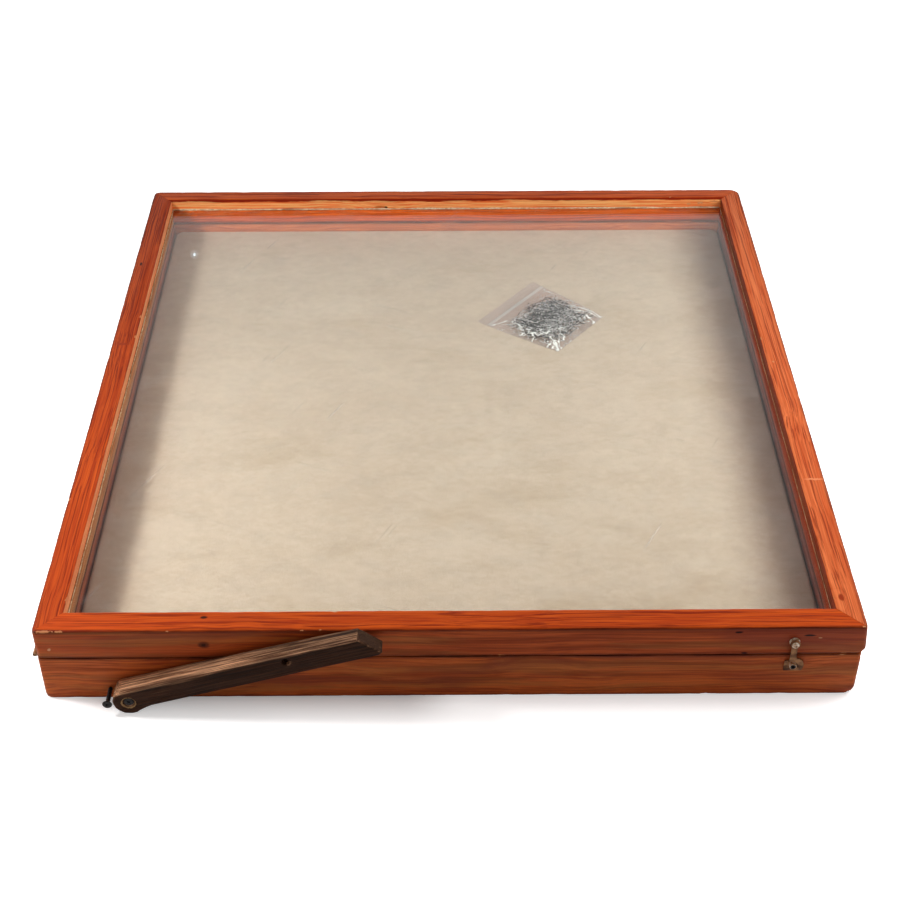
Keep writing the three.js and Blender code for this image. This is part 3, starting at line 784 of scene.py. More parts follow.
# x, y, z, reach along the rail, depth
LID_CHIPS = {
    "front": [
        (-316, -343, 75, 9, 0.8), (-304, -343, 75, 6, 0.6), (-325, -341, 75, 3, 1.2),
        (-90.2, -322, 75, 3, 0.6), (-220, -343, 75, 3, 0.5), (-115, -343, 75, 3.5, 0.5),
        (325, -343, 46, 5.5, 2.4), (324, -342, 75, 4, 1.1),
    ],
    "right": [
        (309.4, 13.5, 75, 4.2, 0.7), (304.4, 51.5, 75, 4, 0.5), (305, -309, 75, 5, 0.9),
        (325, -330, 75, 5, 0.8),
    ],
    "back": [
        (296, 321.5, 72, 6, 0.8), (281, 321.5, 70, 6, 0.9), (268, 321.5, 69, 5, 0.7),
        (-110, 321.5, 75, 3, 0.5),
    ],
    "left": [(-303.5, -306, 75, 5, 0.9), (-304, 60, 75, 4, 0.5), (-304, 95, 75, 4, 0.5)],
}
TRAY_CHIPS = {
    "front": [
        (323, -343, 0, 7, 2.6), (325, -343, 41, 4, 1.4), (-324, -343, 0, 5, 1.2), (205, -343, 0, 6, 0.6),
    ],
    "right": [(325, -336, 0, 8, 2.6), (325, -340, 20, 4, 1.2), (325, -341, 41, 4, 1.4)],
    "back": [],
    "left": [],
}
# x, y, z, half sizes along, across and up, colour
LID_MARKS = {
    "front": [
        (-192.2, -343, 59.7, 6, 3, 4.4, KNOT_RING),
        (-192.2, -343, 59.7, 2.4, 3, 1.8, KNOT),
        (225, -343, 70.5, 4, 2, 1.3, GRIME_AND_SHADE),
        (231.5, -343, 47.5, 3.6, 2, 1.2, GRIME_AND_SHADE),
        (-192.4, -328.0, 75, 3.4, 1.8, 3, KNOT),
        (-313.8, -343, 55.1, 1.6, 2, 1.6, SPLINTER),
        (280.6, -343, 66.2, 6, 2, 1.6, GRIME_AND_SHADE),
        (289, -343, 63.6, 2.2, 1.2, 0.5, SPLINTER),
    ],
    "right": [(310.5, -309.5, 75, 5, 3, 3, LIP_RED), (316, -163, 75, 1.6, 11, 3, PALE_SCRATCH)],
    "back": [(-73, 321.5, 66.5, 9, 3, 2.6, RAW[1]), (-67, 321.5, 66.5, 2.2, 2, 1.2, KNOT)],
    "left": [(-314.3, 46.9, 75, 2.6, 8, 3, LIP_RED), (-318.1, 192.2, 75, 4, 1.6, 3, KNOT)],
}
# Where the grain flows round a knot: x, y, z, half sizes along, across and up
LID_KNOTS = {
    "front": (-192.3, -343, 60, 26, 12, 12),
    "right": (309, -312, 75, 24, 12, 12),
    "back": (-70, 321.5, 66, 40, 9, 9),
    "left": (-314, 47, 75, 30, 14, 14),
}
# The inside: the stained lip's height, the worn chamfer, and light and dark wood above the glass
# (raw), below it (low) and in the tray (well)
WALLS = {
    "front": {
        "lip": 3 * MM, "chamfer": 0.0, "stain": LIP_RED,
        "raw": RAW, "low": WELL, "well": WELL,
    },
    # The right wall's colours are much darker than the other walls': painted shade, as its inner face is on
    # the shadow side.
    "right": {
        "lip": 5 * MM, "chamfer": 0.0, "stain": srgb(150, 52, 18),
        "raw": (srgb(156, 68, 18), srgb(104, 30, 6)),
        "low": (srgb(170, 60, 16), srgb(112, 34, 8)),
        "well": (srgb(134, 66, 52), srgb(88, 36, 28)),
    },
    "back": {
        "lip": 2.4 * MM, "chamfer": 5 * MM, "stain": srgb(150, 40, 14),
        "raw": (srgb(255, 182, 110), srgb(244, 116, 56)),
        "low": (srgb(222, 90, 12), srgb(166, 52, 6)),
        "well": (srgb(226, 130, 78), srgb(176, 86, 54)),
    },
    "left": {
        "lip": 1.2 * MM, "chamfer": 0.0, "stain": srgb(176, 68, 30),
        "raw": (srgb(255, 170, 112), srgb(250, 136, 84)),
        "low": (srgb(196, 128, 78), srgb(142, 80, 46)),
        "well": (srgb(176, 88, 54), srgb(122, 54, 32)),
    },
}
LEAN = 2.2 * MM
LEAN_ROUND = 4.5 * MM
LEAN_REACH = 14 * MM
# Signs of x and y of the corner, its height, reach, depth
CORNER_WEAR = {
    "tray": [
        (1, -1, 0.0, 9 * MM, 3.0 * MM),
        (-1, -1, 0.0, 7 * MM, 1.6 * MM),
        (1, 1, 0.0, 9 * MM, 2.4 * MM),
        (1, -1, TRAY_TOP, 6 * MM, 1.4 * MM),
    ],
    "lid": [
        (1, -1, LID_BASE, 7 * MM, 1.4 * MM),
        (1, 1, LID_TOP, 11 * MM, 3.0 * MM),
        (-1, 1, LID_TOP, 8 * MM, 1.6 * MM),
        (1, -1, LID_TOP, 6 * MM, 1.0 * MM),
        (-1, -1, LID_TOP, 6 * MM, 1.0 * MM),
    ],
}


def side_size(side):
    """A side's length, and how far its outer face is from the middle of the case."""
    across = side in ("front", "back")
    return (CASE_WIDTH, CASE_DEPTH / 2) if across else (CASE_DEPTH, CASE_WIDTH / 2)


def side_turn(side):
    """The turn about Z from a side's own frame, in which it faces -Y, to the row frame."""
    return SIDES[side] * math.pi / 2


def to_rail(side, *place):
    """A place given in millimetres of the row frame, in a side's own frame."""
    return Matrix.Rotation(-side_turn(side), 4, "Z") @ Vector([part * MM for part in place])


def chip(side, x, y, z, reach, depth):
    """A row of a table of chips, in metres and measured from the rail's outer face."""
    place = to_rail(side, x, y, z)
    return (place.x, place.y + side_size(side)[1], place.z, reach * MM, depth * MM)


def mark(side, x, y, z, along, across, up, *tint):
    """A row of a table of marks or knots, in metres of the side's own frame."""
    return (to_rail(side, x, y, z), Vector((along, across, up)) * MM, *tint)


def wear_corners(part, place):
    """Pulls a point near one of the case's worn corners inwards."""
    for sign_x, sign_y, height, reach, depth in CORNER_WEAR[part]:
        corner = Vector((sign_x * CASE_RIGHT, -sign_y * CASE_FRONT, height))
        near = 1 - (place - corner).length / reach
        if near > 0:
            up = 1 if height in (0.0, LID_BASE) else -1
            place += Vector((-sign_x, -sign_y, up)).normalized() * depth * near * near


def lean_out(place):
    """Leans the lid's right-hand face outwards, down to where its lower edge is worn round."""
    near = smoothstep((place.x - CASE_RIGHT + LEAN_REACH) / LEAN_REACH)
    down = (LID_TOP - place.z) / (LID_TOP - LID_BASE - LEAN_ROUND)
    worn = smoothstep((place.z - LID_BASE) / LEAN_ROUND)
    place.x += LEAN * near * min(1.0, down) * (0.15 + 0.85 * worn)


def worn_shape(part, side, vertices):
    """A rail's points in its side's own frame, after years of use of the whole case."""
    to_middle = Vector((0, side_size(side)[1], 0))
    turned = Matrix.Rotation(side_turn(side), 3, "Z")
    moved = []
    for vertex in vertices:
        place = turned @ (Vector(vertex) - to_middle)
        wear_corners(part, place)
        if part == "lid":
            lean_out(place)
        moved.append(turned.transposed() @ place)
    return moved


def add_rails():
    for side, index in SIDES.items():
        length, half_span = side_size(side)
        hinged = side == "left"
        seed = 3.0 + index
        wall = {**WALLS[side], "face": RAIL - half_span}
        knots = [mark(side, *LID_KNOTS[side])]
        marks = [mark(side, *row) for row in LID_MARKS[side]]
        lid_wood = stained_wood(f"lid_wood_{side}", seed, side, wall, TOPS[side], knots, marks)
        tray_wood = stained_wood(f"tray_wood_{side}", seed + 5, side, wall)
        for part, corners, chips, material in (
            ("lid", lid_corners(hinged, wall["chamfer"]), LID_CHIPS[side], lid_wood),
            ("tray", tray_corners(hinged), TRAY_CHIPS[side], tray_wood),
        ):
            chips = [chip(side, *row) for row in chips]
            vertices, faces, wear, rim = rail_mesh(corners, length, seed, chips)
            vertices = worn_shape(part, side, vertices)
            made = add_object(f"{part}_{side}_wood", vertices, faces, material, part, f"{part}_wood",
                              [f"{part}_{side}"], side_turn(side), wear=wear, rim=rim)
            sharpen(made, 50)


# ---- felt ----------------------------------------------------------------------------
FELT_CORNER = 10 * MM
FELT_LEAST_CORNER = 1.2 * MM
FELT_THICKNESS = 1.2 * MM
FELT_ROLL = 3 * MM
FELT_ROLL_STEPS = 5
FELT_INSETS = (6, 10, 18, 30, 50, 80, 120, 170, 230, 285)
FELT_PER_CORNER = 6
FELT_PER_SIDE = 36


def rounded_loop(half_x, half_y, radius):
    """Points of a rounded rectangle, always the same number."""
    arcs = []
    for i, (sign_x, sign_y) in enumerate(((1, -1), (1, 1), (-1, 1), (-1, -1))):
        centre = Vector((sign_x * (half_x - radius), sign_y * (half_y - radius)))
        angles = [math.radians(90 * (i - 1 + k / FELT_PER_CORNER)) for k in range(FELT_PER_CORNER + 1)]
        arcs.append([centre + Vector((math.cos(a), math.sin(a))) * radius for a in angles])
    points = []
    for arc, following in zip(arcs, arcs[1:] + arcs[:1]):
        points += arc
        points += [arc[-1].lerp(following[0], k / FELT_PER_SIDE) for k in range(1, FELT_PER_SIDE)]
    return points


def felt_profile(skirt):
    """The cloth's section from the middle of its upper face, round the hem, to the middle below.

    A row has how far in it is, its height, and 1 on the upper face or 0 on the lower.
    """
    upper = [(0, -skirt * part) for part in (1, 0.7, 0.45)]
    for k in range(FELT_ROLL_STEPS + 1):
        angle = math.radians(90 * k / FELT_ROLL_STEPS)
        upper.append((FELT_ROLL * (1 - math.cos(angle)), FELT_ROLL * (math.sin(angle) - 1)))
    upper += [(inset * MM, 0) for inset in FELT_INSETS]
    lower = []
    for inset, height in upper:
        if height > -FELT_ROLL:
            height -= FELT_THICKNESS
        lower.append((max(inset, FELT_THICKNESS + 0.4 * inset), height))
    return [(*row, 1) for row in reversed(upper)] + [(*row, 0) for row in lower]


def add_felt():
    """The cloth, laid over the board and turned down at its edges."""
    half_x, half_y = FELT_HIGH.x, FELT_HIGH.y
    skirt = FELT_HIGH.z - FELT_LOW.z
    profile = felt_profile(skirt)
    vertices = []
    for inset, height, on_top in profile:
        radius = max(FELT_CORNER - inset, FELT_LEAST_CORNER)
        for x, y in rounded_loop(half_x - inset, half_y - inset, radius):
            ripple = noise.fractal(Vector((x * 9, y * 14, 4)), 1.0, 2.0, 3) * 0.25 * MM
            frayed = noise.noise(Vector((x * 90, y * 90, height * 50))) * 0.25 * MM * on_top
            grow = 1 + (frayed / half_x if inset < FELT_ROLL else 0)
            sunk = min(0.0, ripple) * min(1.0, inset / (10 * MM)) * on_top
            vertices.append((x * grow, y * grow, FELT_HIGH.z + height + sunk))
    faces = tube_faces(len(profile), len(vertices) // len(profile))
    made = add_object("felt_cloth", vertices, faces, felt(), "tray", "felt", ["felt_lining"])
    face_outwards(made.data)


# ---- putty ---------------------------------------------------------------------------
PUTTY_SIZE = {"front": 1.0 * MM, "right": 0.4 * MM, "back": 1.5 * MM, "left": 1.1 * MM}
PUTTY_LEAST = 0.2 * MM
PUTTY_STATION = 1.1 * MM
PUTTY_SIDES = 7


def add_putty():
    """Crusty bead of old putty where the glass meets the rails, broken away in places."""
    shared = putty()
    inner = RAIL + GAP
    for side, index in SIDES.items():
        length, half_span = side_size(side)
        half = length / 2 - inner - 0.6 * MM
        places = np.arange(-half, half, PUTTY_STATION)
        vertices = []
        for x in places:
            thin = noise.fractal(Vector((x * 26, index * 7.0, 1)), 1.0, 2.0, 4)
            size = max(PUTTY_LEAST, (0.5 + 0.5 * thin) * PUTTY_SIZE[side])
            for k in range(PUTTY_SIDES):
                across, up = math.cos(math.tau * k / PUTTY_SIDES), math.sin(math.tau * k / PUTTY_SIDES)
                lump = 1 + 0.45 * noise.noise(Vector((x * 420, across + index, up)))
                y = inner - half_span + size * (1 + across * lump * 0.95)
                z = PANE_HIGH.z + 0.1 * MM + size * (0.95 + up * lump * 0.9)
                vertices.append((x, y, z))
        faces = tube_faces(len(places), PUTTY_SIDES)
        add_object(f"putty_bead_{side}", vertices, faces, shared, "lid", "putty",
                   [f"putty_{side}"], side_turn(side))


# ---- leg -----------------------------------------------------------------------------
LEG_ANGLE = math.radians(17)
LEG_PIVOT = Vector((-254.3 * MM, CASE_FRONT, 13 * MM))
LEG_FRAME = Matrix.Translation(LEG_PIVOT) @ Matrix.Rotation(-LEG_ANGLE, 4, "Y")
LEG_THICKNESS = 17 * MM
LEG_UPPER = 12.8 * MM
LEG_VOXEL = 0.62 * MM
LEG_RIDGE = 0.24 * MM
LEG_DENT = 0.14 * MM
LEG_FOOT = 170 * MM
LEG_FADE = 150 * MM
RUBBED_EDGE = 4 * MM
RUBBED_BELOW = 9 * MM
FRONT_FACE = 3 * MM - LEG_THICKNESS
SINK = 6.6 * MM
SINK_RAW_FROM = 5.0
SINK_RAW_TO = 6.1
SPARE_HOLE = (134.7 * MM, 6.3 * MM)
SPARE_HOLE_WEAR = 4.6 * MM


def leg_mesh():
    """The CAD leg, remeshed finely, in the leg's own frame: along, outwards, up."""
    mesh = bpy.data.meshes.new("leg_wood")
    working = bmesh.new()
    working.from_mesh(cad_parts["leg"].data)
    bmesh.ops.remove_doubles(working, verts=working.verts, dist=0.01 * MM)
    working.to_mesh(mesh)
    working.free()
    mesh.transform(LEG_FRAME.inverted())
    coarse = new_object("coarse_leg", mesh)
    fine = coarse.modifiers.new("fine", "REMESH")
    fine.mode = "VOXEL"
    fine.voxel_size = LEG_VOXEL
    return baked_mesh(coarse)


def weather_leg(mesh):
    """Moves the surface into grain ridges and dents, and marks the worn edge and the upward faces (painted
    light), the raw ring and the end grain.
    """
    own_places = np.zeros(3 * len(mesh.vertices), np.float32)
    mesh.vertices.foreach_get("co", own_places)
    mesh.attributes.new("grain", "FLOAT_VECTOR", "POINT").data.foreach_set("vector", own_places)
    layers = {"wear": [], "raw": [], "end": []}
    normals = [vertex.normal.copy() for vertex in mesh.vertices]
    for vertex, normal in zip(mesh.vertices, normals):
        x, y, z = vertex.co
        ridge = noise.fractal(Vector((x * 14, y * 380, z * 380)), 0.9, 2.0, 4)
        knock = noise.noise(Vector((x * 60, y * 120, z * 120)))
        dent = LEG_RIDGE * ridge + LEG_DENT * min(0.0, knock)
        from_top = LEG_UPPER - z
        edge = max(0.0, 1 - (from_top + (y + LEG_THICKNESS) * 0.5) / RUBBED_EDGE)
        below = max(0.0, 1 - from_top / RUBBED_BELOW)
        fade = 1 - 0.6 * min(1.0, max(0.0, x) / LEG_FADE)
        # Upward faces count as worn here, which paints light onto the leg's top; the upper front edge is
        # paler as wear.
        wear = (0.8 * max(0.0, normal.z) + 0.7 * edge + 0.3 * below) * fade + 0.3 * ridge
        raw = end = 0.0
        if x > LEG_FOOT:
            foot = max(0.0, normal.x)
            end = min(1.0, foot * 1.4)
            wear += 0.5 * max(0.0, 1 - abs(foot - 0.5) * 3)
        at_front = y < FRONT_FACE
        from_screw = math.hypot(x, z)
        if from_screw < SINK and at_front and normal.y < -0.2:
            raw = float(SINK_RAW_FROM * MM < from_screw < (SINK_RAW_TO + 0.3 * knock) * MM)
            dent *= 0.3
        right, up = x - SPARE_HOLE[0], z - SPARE_HOLE[1]
        if math.hypot(right, up) < SPARE_HOLE_WEAR and at_front and right > 0 and up < 0:
            wear += 0.6
        layers["wear"].append(min(1.0, max(0.0, wear)))
        layers["raw"].append(raw)
        layers["end"].append(end)
        vertex.co += normal * dent
    for name, values in layers.items():
        add_attribute(mesh, name, values)


def add_leg():
    """The leg with ridged grain, a worn upper edge and a painted-light top."""
    mesh = leg_mesh()
    weather_leg(mesh)
    mesh.transform(LEG_FRAME)
    settle(new_object("leg_weathered", mesh), leg_wood(), "leg", ["leg"])


# ---- screws --------------------------------------------------------------------------
SCREW_SHANK = 1.9 * MM
SCREW_PITCH = 1.9 * MM
SCREW_HEADS = {"leg_screw": 3.9 * MM, "stop_screw": 4.0 * MM}
AXIS_HOLE = 0.01 * MM


def lathe(profile, segments):
    """A turned mesh about the local -Y axis: profile rows are the radius and how far out."""
    vertices = []
    for radius, out in profile:
        for k in range(segments):
            angle = math.tau * k / segments
            vertices.append((radius * math.cos(angle), -out, radius * math.sin(angle)))
    return face_outwards(new_mesh("turned", vertices, tube_faces(len(profile), segments)))


def blade(depth, reach, width):
    """One tapering blade of a cross recess, reaching depth both ways along Y."""
    vertices = []
    for y, far in ((-depth, reach), (depth, reach * 0.35)):
        for sign_x, sign_z in ((-1, -1), (1, -1), (1, 1), (-1, 1)):
            vertices.append((sign_x * far, y, sign_z * width / 2))
    return face_outwards(new_mesh("blade", vertices, tube_faces(2, 4)))


def carve(mesh, out, turn, depth, reach, width):
    """Cuts a cross recess into a turned mesh whose end is at y = -out."""
    for quarter in (0, math.pi / 2):
        body = new_object("body", mesh)
        tool = new_object("tool", blade(depth, reach, width))
        tool.matrix_world = Matrix.Translation((0, -out, 0)) @ Matrix.Rotation(turn + quarter, 4, "Y")
        cutter = body.modifiers.new("cut", "BOOLEAN")
        cutter.object = tool
        cutter.operation = "DIFFERENCE"
        cutter.solver = "EXACT"
        mesh = baked_mesh(body)
        bpy.data.objects.remove(tool)
    return mesh


def stands_out(node):
    """How far a screw stands out of the case's front."""
    return CASE_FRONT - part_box(node)[0].y


def place_screw(name, mesh, node, material, body):
    """Puts a turned mesh on a CAD screw's axis, in its place."""
    low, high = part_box(node)
    made = new_object(name, mesh)
    made.matrix_world = Matrix.Translation(((low.x + high.x) / 2, CASE_FRONT, (low.z + high.z) / 2))
    sharpen(settle(made, material, body, [node]), 35)


def screw_mesh(out, head):
    """A countersunk screw with a cross recess, its threads cut to just below the head."""
    profile = [(AXIS_HOLE, -13 * MM), (SCREW_SHANK * 0.7, -11 * MM)]
    y = -9 * MM
    while y < out - 4.6 * MM:
        for width, part in ((0.62, 0), (0.66, 0.4), (1, 0.6), (0.66, 0.8)):
            profile.append((SCREW_SHANK * width, y + part * SCREW_PITCH))
        y += SCREW_PITCH
    profile += [
        (SCREW_SHANK * 0.75, out - 3.4 * MM), (SCREW_SHANK * 1.2, out - 2.6 * MM), (head, out - 0.7 * MM),
        (head, out - 0.45 * MM), (head * 0.93, out - 0.1 * MM), (head * 0.6, out), (AXIS_HOLE, out),
    ]
    return carve(lathe(profile, 28), out, 0.6, 1.9 * MM, 2.2 * MM, 0.85 * MM)


def add_screws():
    steel = black_steel()
    for node, head in SCREW_HEADS.items():
        mesh = screw_mesh(stands_out(node), head)
        place_screw(f"{node}_threaded", mesh, node, steel, "tray")


# ---- hook and hinge ------------------------------------------------------------------
STUD_WALL = 0.8 * MM


def darken_bore(node):
    """Gives the hollow of a round stud a dark material: painted shade in the recess."""
    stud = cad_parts[node].data
    low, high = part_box(node)
    centre = (low + high) / 2
    bore = (high.x - low.x) / 2 - STUD_WALL
    stud.materials.append(black_steel())
    for face in stud.polygons:
        if math.hypot(face.center.x - centre.x, face.center.z - centre.z) < bore:
            face.material_index = 1


def hook_screw_mesh(out):
    """A round-headed screw with a shoulder and a wide collar against the wood."""
    profile = [
        (AXIS_HOLE, -9 * MM), (1.3 * MM, -8 * MM), (1.4 * MM, 0.3 * MM), (4.2 * MM, 0.3 * MM),
        (4.2 * MM, 0.8 * MM), (3.7 * MM, 1.5 * MM), (2.6 * MM, 1.9 * MM), (1.4 * MM, 2.4 * MM),
        (1.4 * MM, out - 1.7 * MM), (2.9 * MM, out - 1.6 * MM), (2.9 * MM, out - 1.1 * MM),
        (2.3 * MM, out - 0.35 * MM), (1.2 * MM, out), (AXIS_HOLE, out),
    ]
    return carve(lathe(profile, 32), out, 0.4, 1.1 * MM, 1.7 * MM, 0.7 * MM)


def add_metalwork():
    metal, rubbed_and_lit = brass(), rubbed_brass_and_highlight()
    # Bevels, the stud and the hook screw get the near-white brass: painted highlights on worn metal.
    dress("hook", metal, 0.45 * MM, rubbed_and_lit)
    dress("catch_plate", metal, 0.3 * MM, rubbed_and_lit)
    dress("catch_stud", rubbed_and_lit)
    darken_bore("catch_stud")
    mesh = hook_screw_mesh(stands_out("hook_screw"))
    place_screw("hook_screw_turned", mesh, "hook_screw", rubbed_and_lit, "lid")
    for node in ("hinge_leaf_tray", "hinge_leaf_lid", "hinge_pin"):
        dress(node, metal)


# ---- bag of pins ---------------------------------------------------------------------
BAG_CENTRE = Vector((102.8, 138.7)) * MM
BAG_TURN = math.radians(-39)
BAG_LENGTH = 83.4 * MM
BAG_MOUTH = 94.7 * MM
BAG_BOTTOM = 79.2 * MM
BAG_FLAP = 12 * MM
BAG_HEIGHT = 10.4 * MM
BAG_EDGE = 0.7 * MM
BAG_FLOOR = FELT_HIGH.z + 0.35 * MM
BAG_STEPS = 150
BAG_SEAL = 0.6 * MM
FLAP_LIFT = 1.1 * MM
FLAP_GAP = 0.3 * MM
LOWER_SKIN = 0.05 * MM
SEAL_FOLD = 0.55
CREASE_WANDER = 2.2 * MM
# Millimetres in the bag's own frame: start x, y, end x, y, width. The last number is the strength.
CREASES = [
    (83, 39, 58, 30, 1.0, 1.0), (82, 36, 62, 22, 0.8, 0.9), (80, 38, 66, 34, 0.7, 0.8),
    (82, -37, 76, -34, 2.6, 1.0), (79, -36, 66, -31, 1.0, 0.9), (80, -33, 72, -22, 0.9, 0.9),
    (78, -38, 60, -40, 0.7, 0.8), (62, -26, 56, -34, 1.5, 1.0), (72, -12, 68, -17, 1.2, 0.9),
    (68, -17, 72, -20, 0.8, 0.9), (56, -34, 47, -36, 0.9, 0.9), (3, -44, 14, -30, 1.1, 0.9),
    (14, -30, 30, -33, 0.8, 0.9), (30, -33, 44, -40, 0.8, 0.8), (5, 44, 22, 38, 0.9, 0.8),
    (8, 40, 14, 24, 0.7, 0.7), (60, -6, 52, -14, 0.8, 0.7), (70, 10, 62, 4, 0.8, 0.8),
    (30, 30, 18, 34, 0.7, 0.7),
]
ZIP_STRIPS = (0.4 * MM, 2.4 * MM)
ZIP_RADIUS = 0.38 * MM
ZIP_STEPS = 60
ZIP_SIDES = 6
PIN_COUNT = 640
PIN_BUNDLE = 34
PIN_LENGTH = 25 * MM
PIN_RADIUS = 0.25 * MM
PIN_HEAD = 0.7 * MM
PIN_POINT = 0.02 * MM
PIN_SIDES = 6
PIN_HEAD_RINGS = 4
PIN_HEAD_PAINTED_GLINT = 0.45


def bag_top(across, along):
    """Height of the film over the felt; across and along run from 0 to 1."""
    sides = math.sin(math.pi * min(1.0, max(0.0, across))) ** 0.5
    ends = smoothstep(along / 0.38) * smoothstep((1 - along) / 0.14)
    return BAG_EDGE + (BAG_HEIGHT - BAG_EDGE) * sides * ends


def bag_width(along):
    return BAG_MOUTH + (BAG_BOTTOM - BAG_MOUTH) * min(1.0, max(0.0, along))


def bag_point(x, y, z):
    """From the bag's own frame, x from the zip to its bottom, to the row frame."""
    c, s = math.cos(BAG_TURN), math.sin(BAG_TURN)
    x -= BAG_LENGTH / 2
    return (BAG_CENTRE.x + c * x - s * y, BAG_CENTRE.y + s * x + c * y, BAG_FLOOR + z)


def distance_to(start, end, point):
    along = end - start
    part = min(1.0, max(0.0, (point - start).dot(along) / along.length_squared))
    return (point - start - along * part).length


def crease_at(x, y, lines):
    """How sharply the film is folded here: 0 to 1."""
    here = Vector((x * 95, y * 95, 2.0))
    ridged = 1 - abs(noise.fractal(here, 0.9, 2.1, 3))
    corner = max(0.0, abs(y) / (BAG_MOUTH / 2) + x / BAG_LENGTH - 0.75)
    value = smoothstep((ridged - 0.86) / 0.14) * min(1.0, 0.35 + corner)
    wander = Vector((noise.noise(here * 2.4), noise.noise(here * 2.4 + Vector((5, 5, 5)))))
    point = Vector((x, y)) + wander * CREASE_WANDER
    for start, end, width, strength in lines:
        near = 1 - distance_to(start, end, point) / width
        if near > 0:
            value = max(value, strength * smoothstep(near * 1.5))
    return value


def skin_at(x, across, upper, lines):
    """Where the bag's upper or lower skin is, and how sharply it is folded there."""
    along = x / BAG_LENGTH
    y = (across - 0.5) * bag_width(along)
    z, fold = LOWER_SKIN, 0.0
    if upper:
        top = bag_top(across, along)
        fold = crease_at(x, y, lines)
        fullness = smoothstep((top - BAG_EDGE) / BAG_HEIGHT * 3)
        z = top + (0.5 * fold - 0.2) * MM * fullness
    if x < 0:
        lift = smoothstep(-x / BAG_FLAP) * FLAP_LIFT
        z = lift * (0.4 + 0.6 * across) + (FLAP_GAP if upper else LOWER_SKIN)
    at_side = min(across, 1 - across) * BAG_MOUTH < BAG_SEAL
    # The sealed edges are marked as folded, which paints them with white highlight.
    if upper and (at_side or x > BAG_LENGTH - BAG_SEAL):
        fold = max(fold, SEAL_FOLD)
    return bag_point(x, y, z), fold


def add_bag():
    """The film as two skins that meet round the rim, with a flap beyond the zip."""
    lines = [(Vector((a, b)) * MM, Vector((c, d)) * MM, width * MM, strength)
             for a, b, c, d, width, strength in CREASES]
    vertices, creased = [], []
    for upper in (True, False):
        for j in range(BAG_STEPS + 1):
            x = -BAG_FLAP + (BAG_LENGTH + BAG_FLAP) * j / BAG_STEPS
            for i in range(BAG_STEPS + 1):
                place, fold = skin_at(x, i / BAG_STEPS, upper, lines)
                vertices.append(place)
                creased.append(fold)
    row = BAG_STEPS + 1
    skin = row * row
    faces = []
    for j in range(BAG_STEPS):
        for a in range(j * row, j * row + BAG_STEPS):
            faces.append((a, a + row, a + row + 1, a + 1))
            faces.append((skin + a, skin + a + 1, skin + a + row + 1, skin + a + row))
    rim = [*range(BAG_STEPS), *range(BAG_STEPS, skin - 1, row)]
    rim += [*range(skin - 1, skin - row, -1), *range(skin - row, 0, -row)]
    for a, b in zip(rim, rim[1:] + rim[:1]):
        faces.append((a, b, skin + b, skin + a))
    add_object("pin_bag_film", vertices, faces, bag_film(), "tray", "bag_film", ["pin_bag"], crease=creased)


def add_zip():
    """The two press-together strips at the bag's mouth."""
    vertices, faces = [], []
    for strip in ZIP_STRIPS:
        faces += tube_faces(ZIP_STEPS + 1, ZIP_SIDES, len(vertices))
        for k in range(ZIP_STEPS + 1):
            across = 0.012 + 0.976 * k / ZIP_STEPS
            middle = bag_top(across, strip / BAG_LENGTH) + ZIP_RADIUS
            for i in range(ZIP_SIDES):
                angle = math.tau * i / ZIP_SIDES
                x, z = strip + ZIP_RADIUS * math.cos(angle), middle + ZIP_RADIUS * math.sin(angle)
                vertices.append(bag_point(x, (across - 0.5) * BAG_MOUTH, z))
    made = add_object("pin_bag_zip", vertices, faces, zip_film(), "tray", "bag_film")
    face_outwards(made.data)


def pin_points(start, end):
    """Rings of points from one pin's round head to its point."""
    length = (end - start).length
    axis = (end - start).normalized()
    side = axis.orthogonal().normalized()
    other = axis.cross(side)
    cap_radius, cap_far = PIN_HEAD * 0.75, PIN_HEAD * 0.7
    head = [(PIN_POINT, -PIN_HEAD), (cap_radius, -cap_far), (PIN_HEAD, 0), (cap_radius, cap_far)]
    shaft = [(PIN_RADIUS, PIN_HEAD), (PIN_RADIUS, length * 0.93), (PIN_POINT, length)]
    points = []
    for radius, far in head + shaft:
        for k in range(PIN_SIDES):
            angle = math.tau * k / PIN_SIDES
            points.append(start + axis * far + (side * math.cos(angle) + other * math.sin(angle)) * radius)
    return points


def inside_bag(x, y, z):
    along = x / BAG_LENGTH
    across = y / bag_width(along) + 0.5
    if not 0.1 < along < 0.985 or not 0.025 < across < 0.975:
        return False
    return PIN_HEAD < z < bag_top(across, along) - PIN_HEAD


def draw_pin(draw, bundled):
    """A pin's middle, the step to its end, both in the bag's own frame, and how bright it is painted."""
    if bundled:
        middle = Vector((draw.gauss(31, 6), draw.gauss(-22, 6), draw.uniform(3, 7))) * MM
        heading = math.radians(draw.gauss(4, 8))
    else:
        middle = Vector((draw.uniform(14, 84), draw.uniform(-46, 46), draw.uniform(1, 9))) * MM
        heading = draw.uniform(0, math.tau)
    tilt = draw.gauss(0, 0.14)
    reach = PIN_LENGTH * draw.uniform(0.6, 1.0) / 2
    level = draw.random() ** 1.2
    flat = math.cos(tilt)
    step = Vector((math.cos(heading) * flat, math.sin(heading) * flat, math.sin(tilt))) * reach
    return middle, step, level


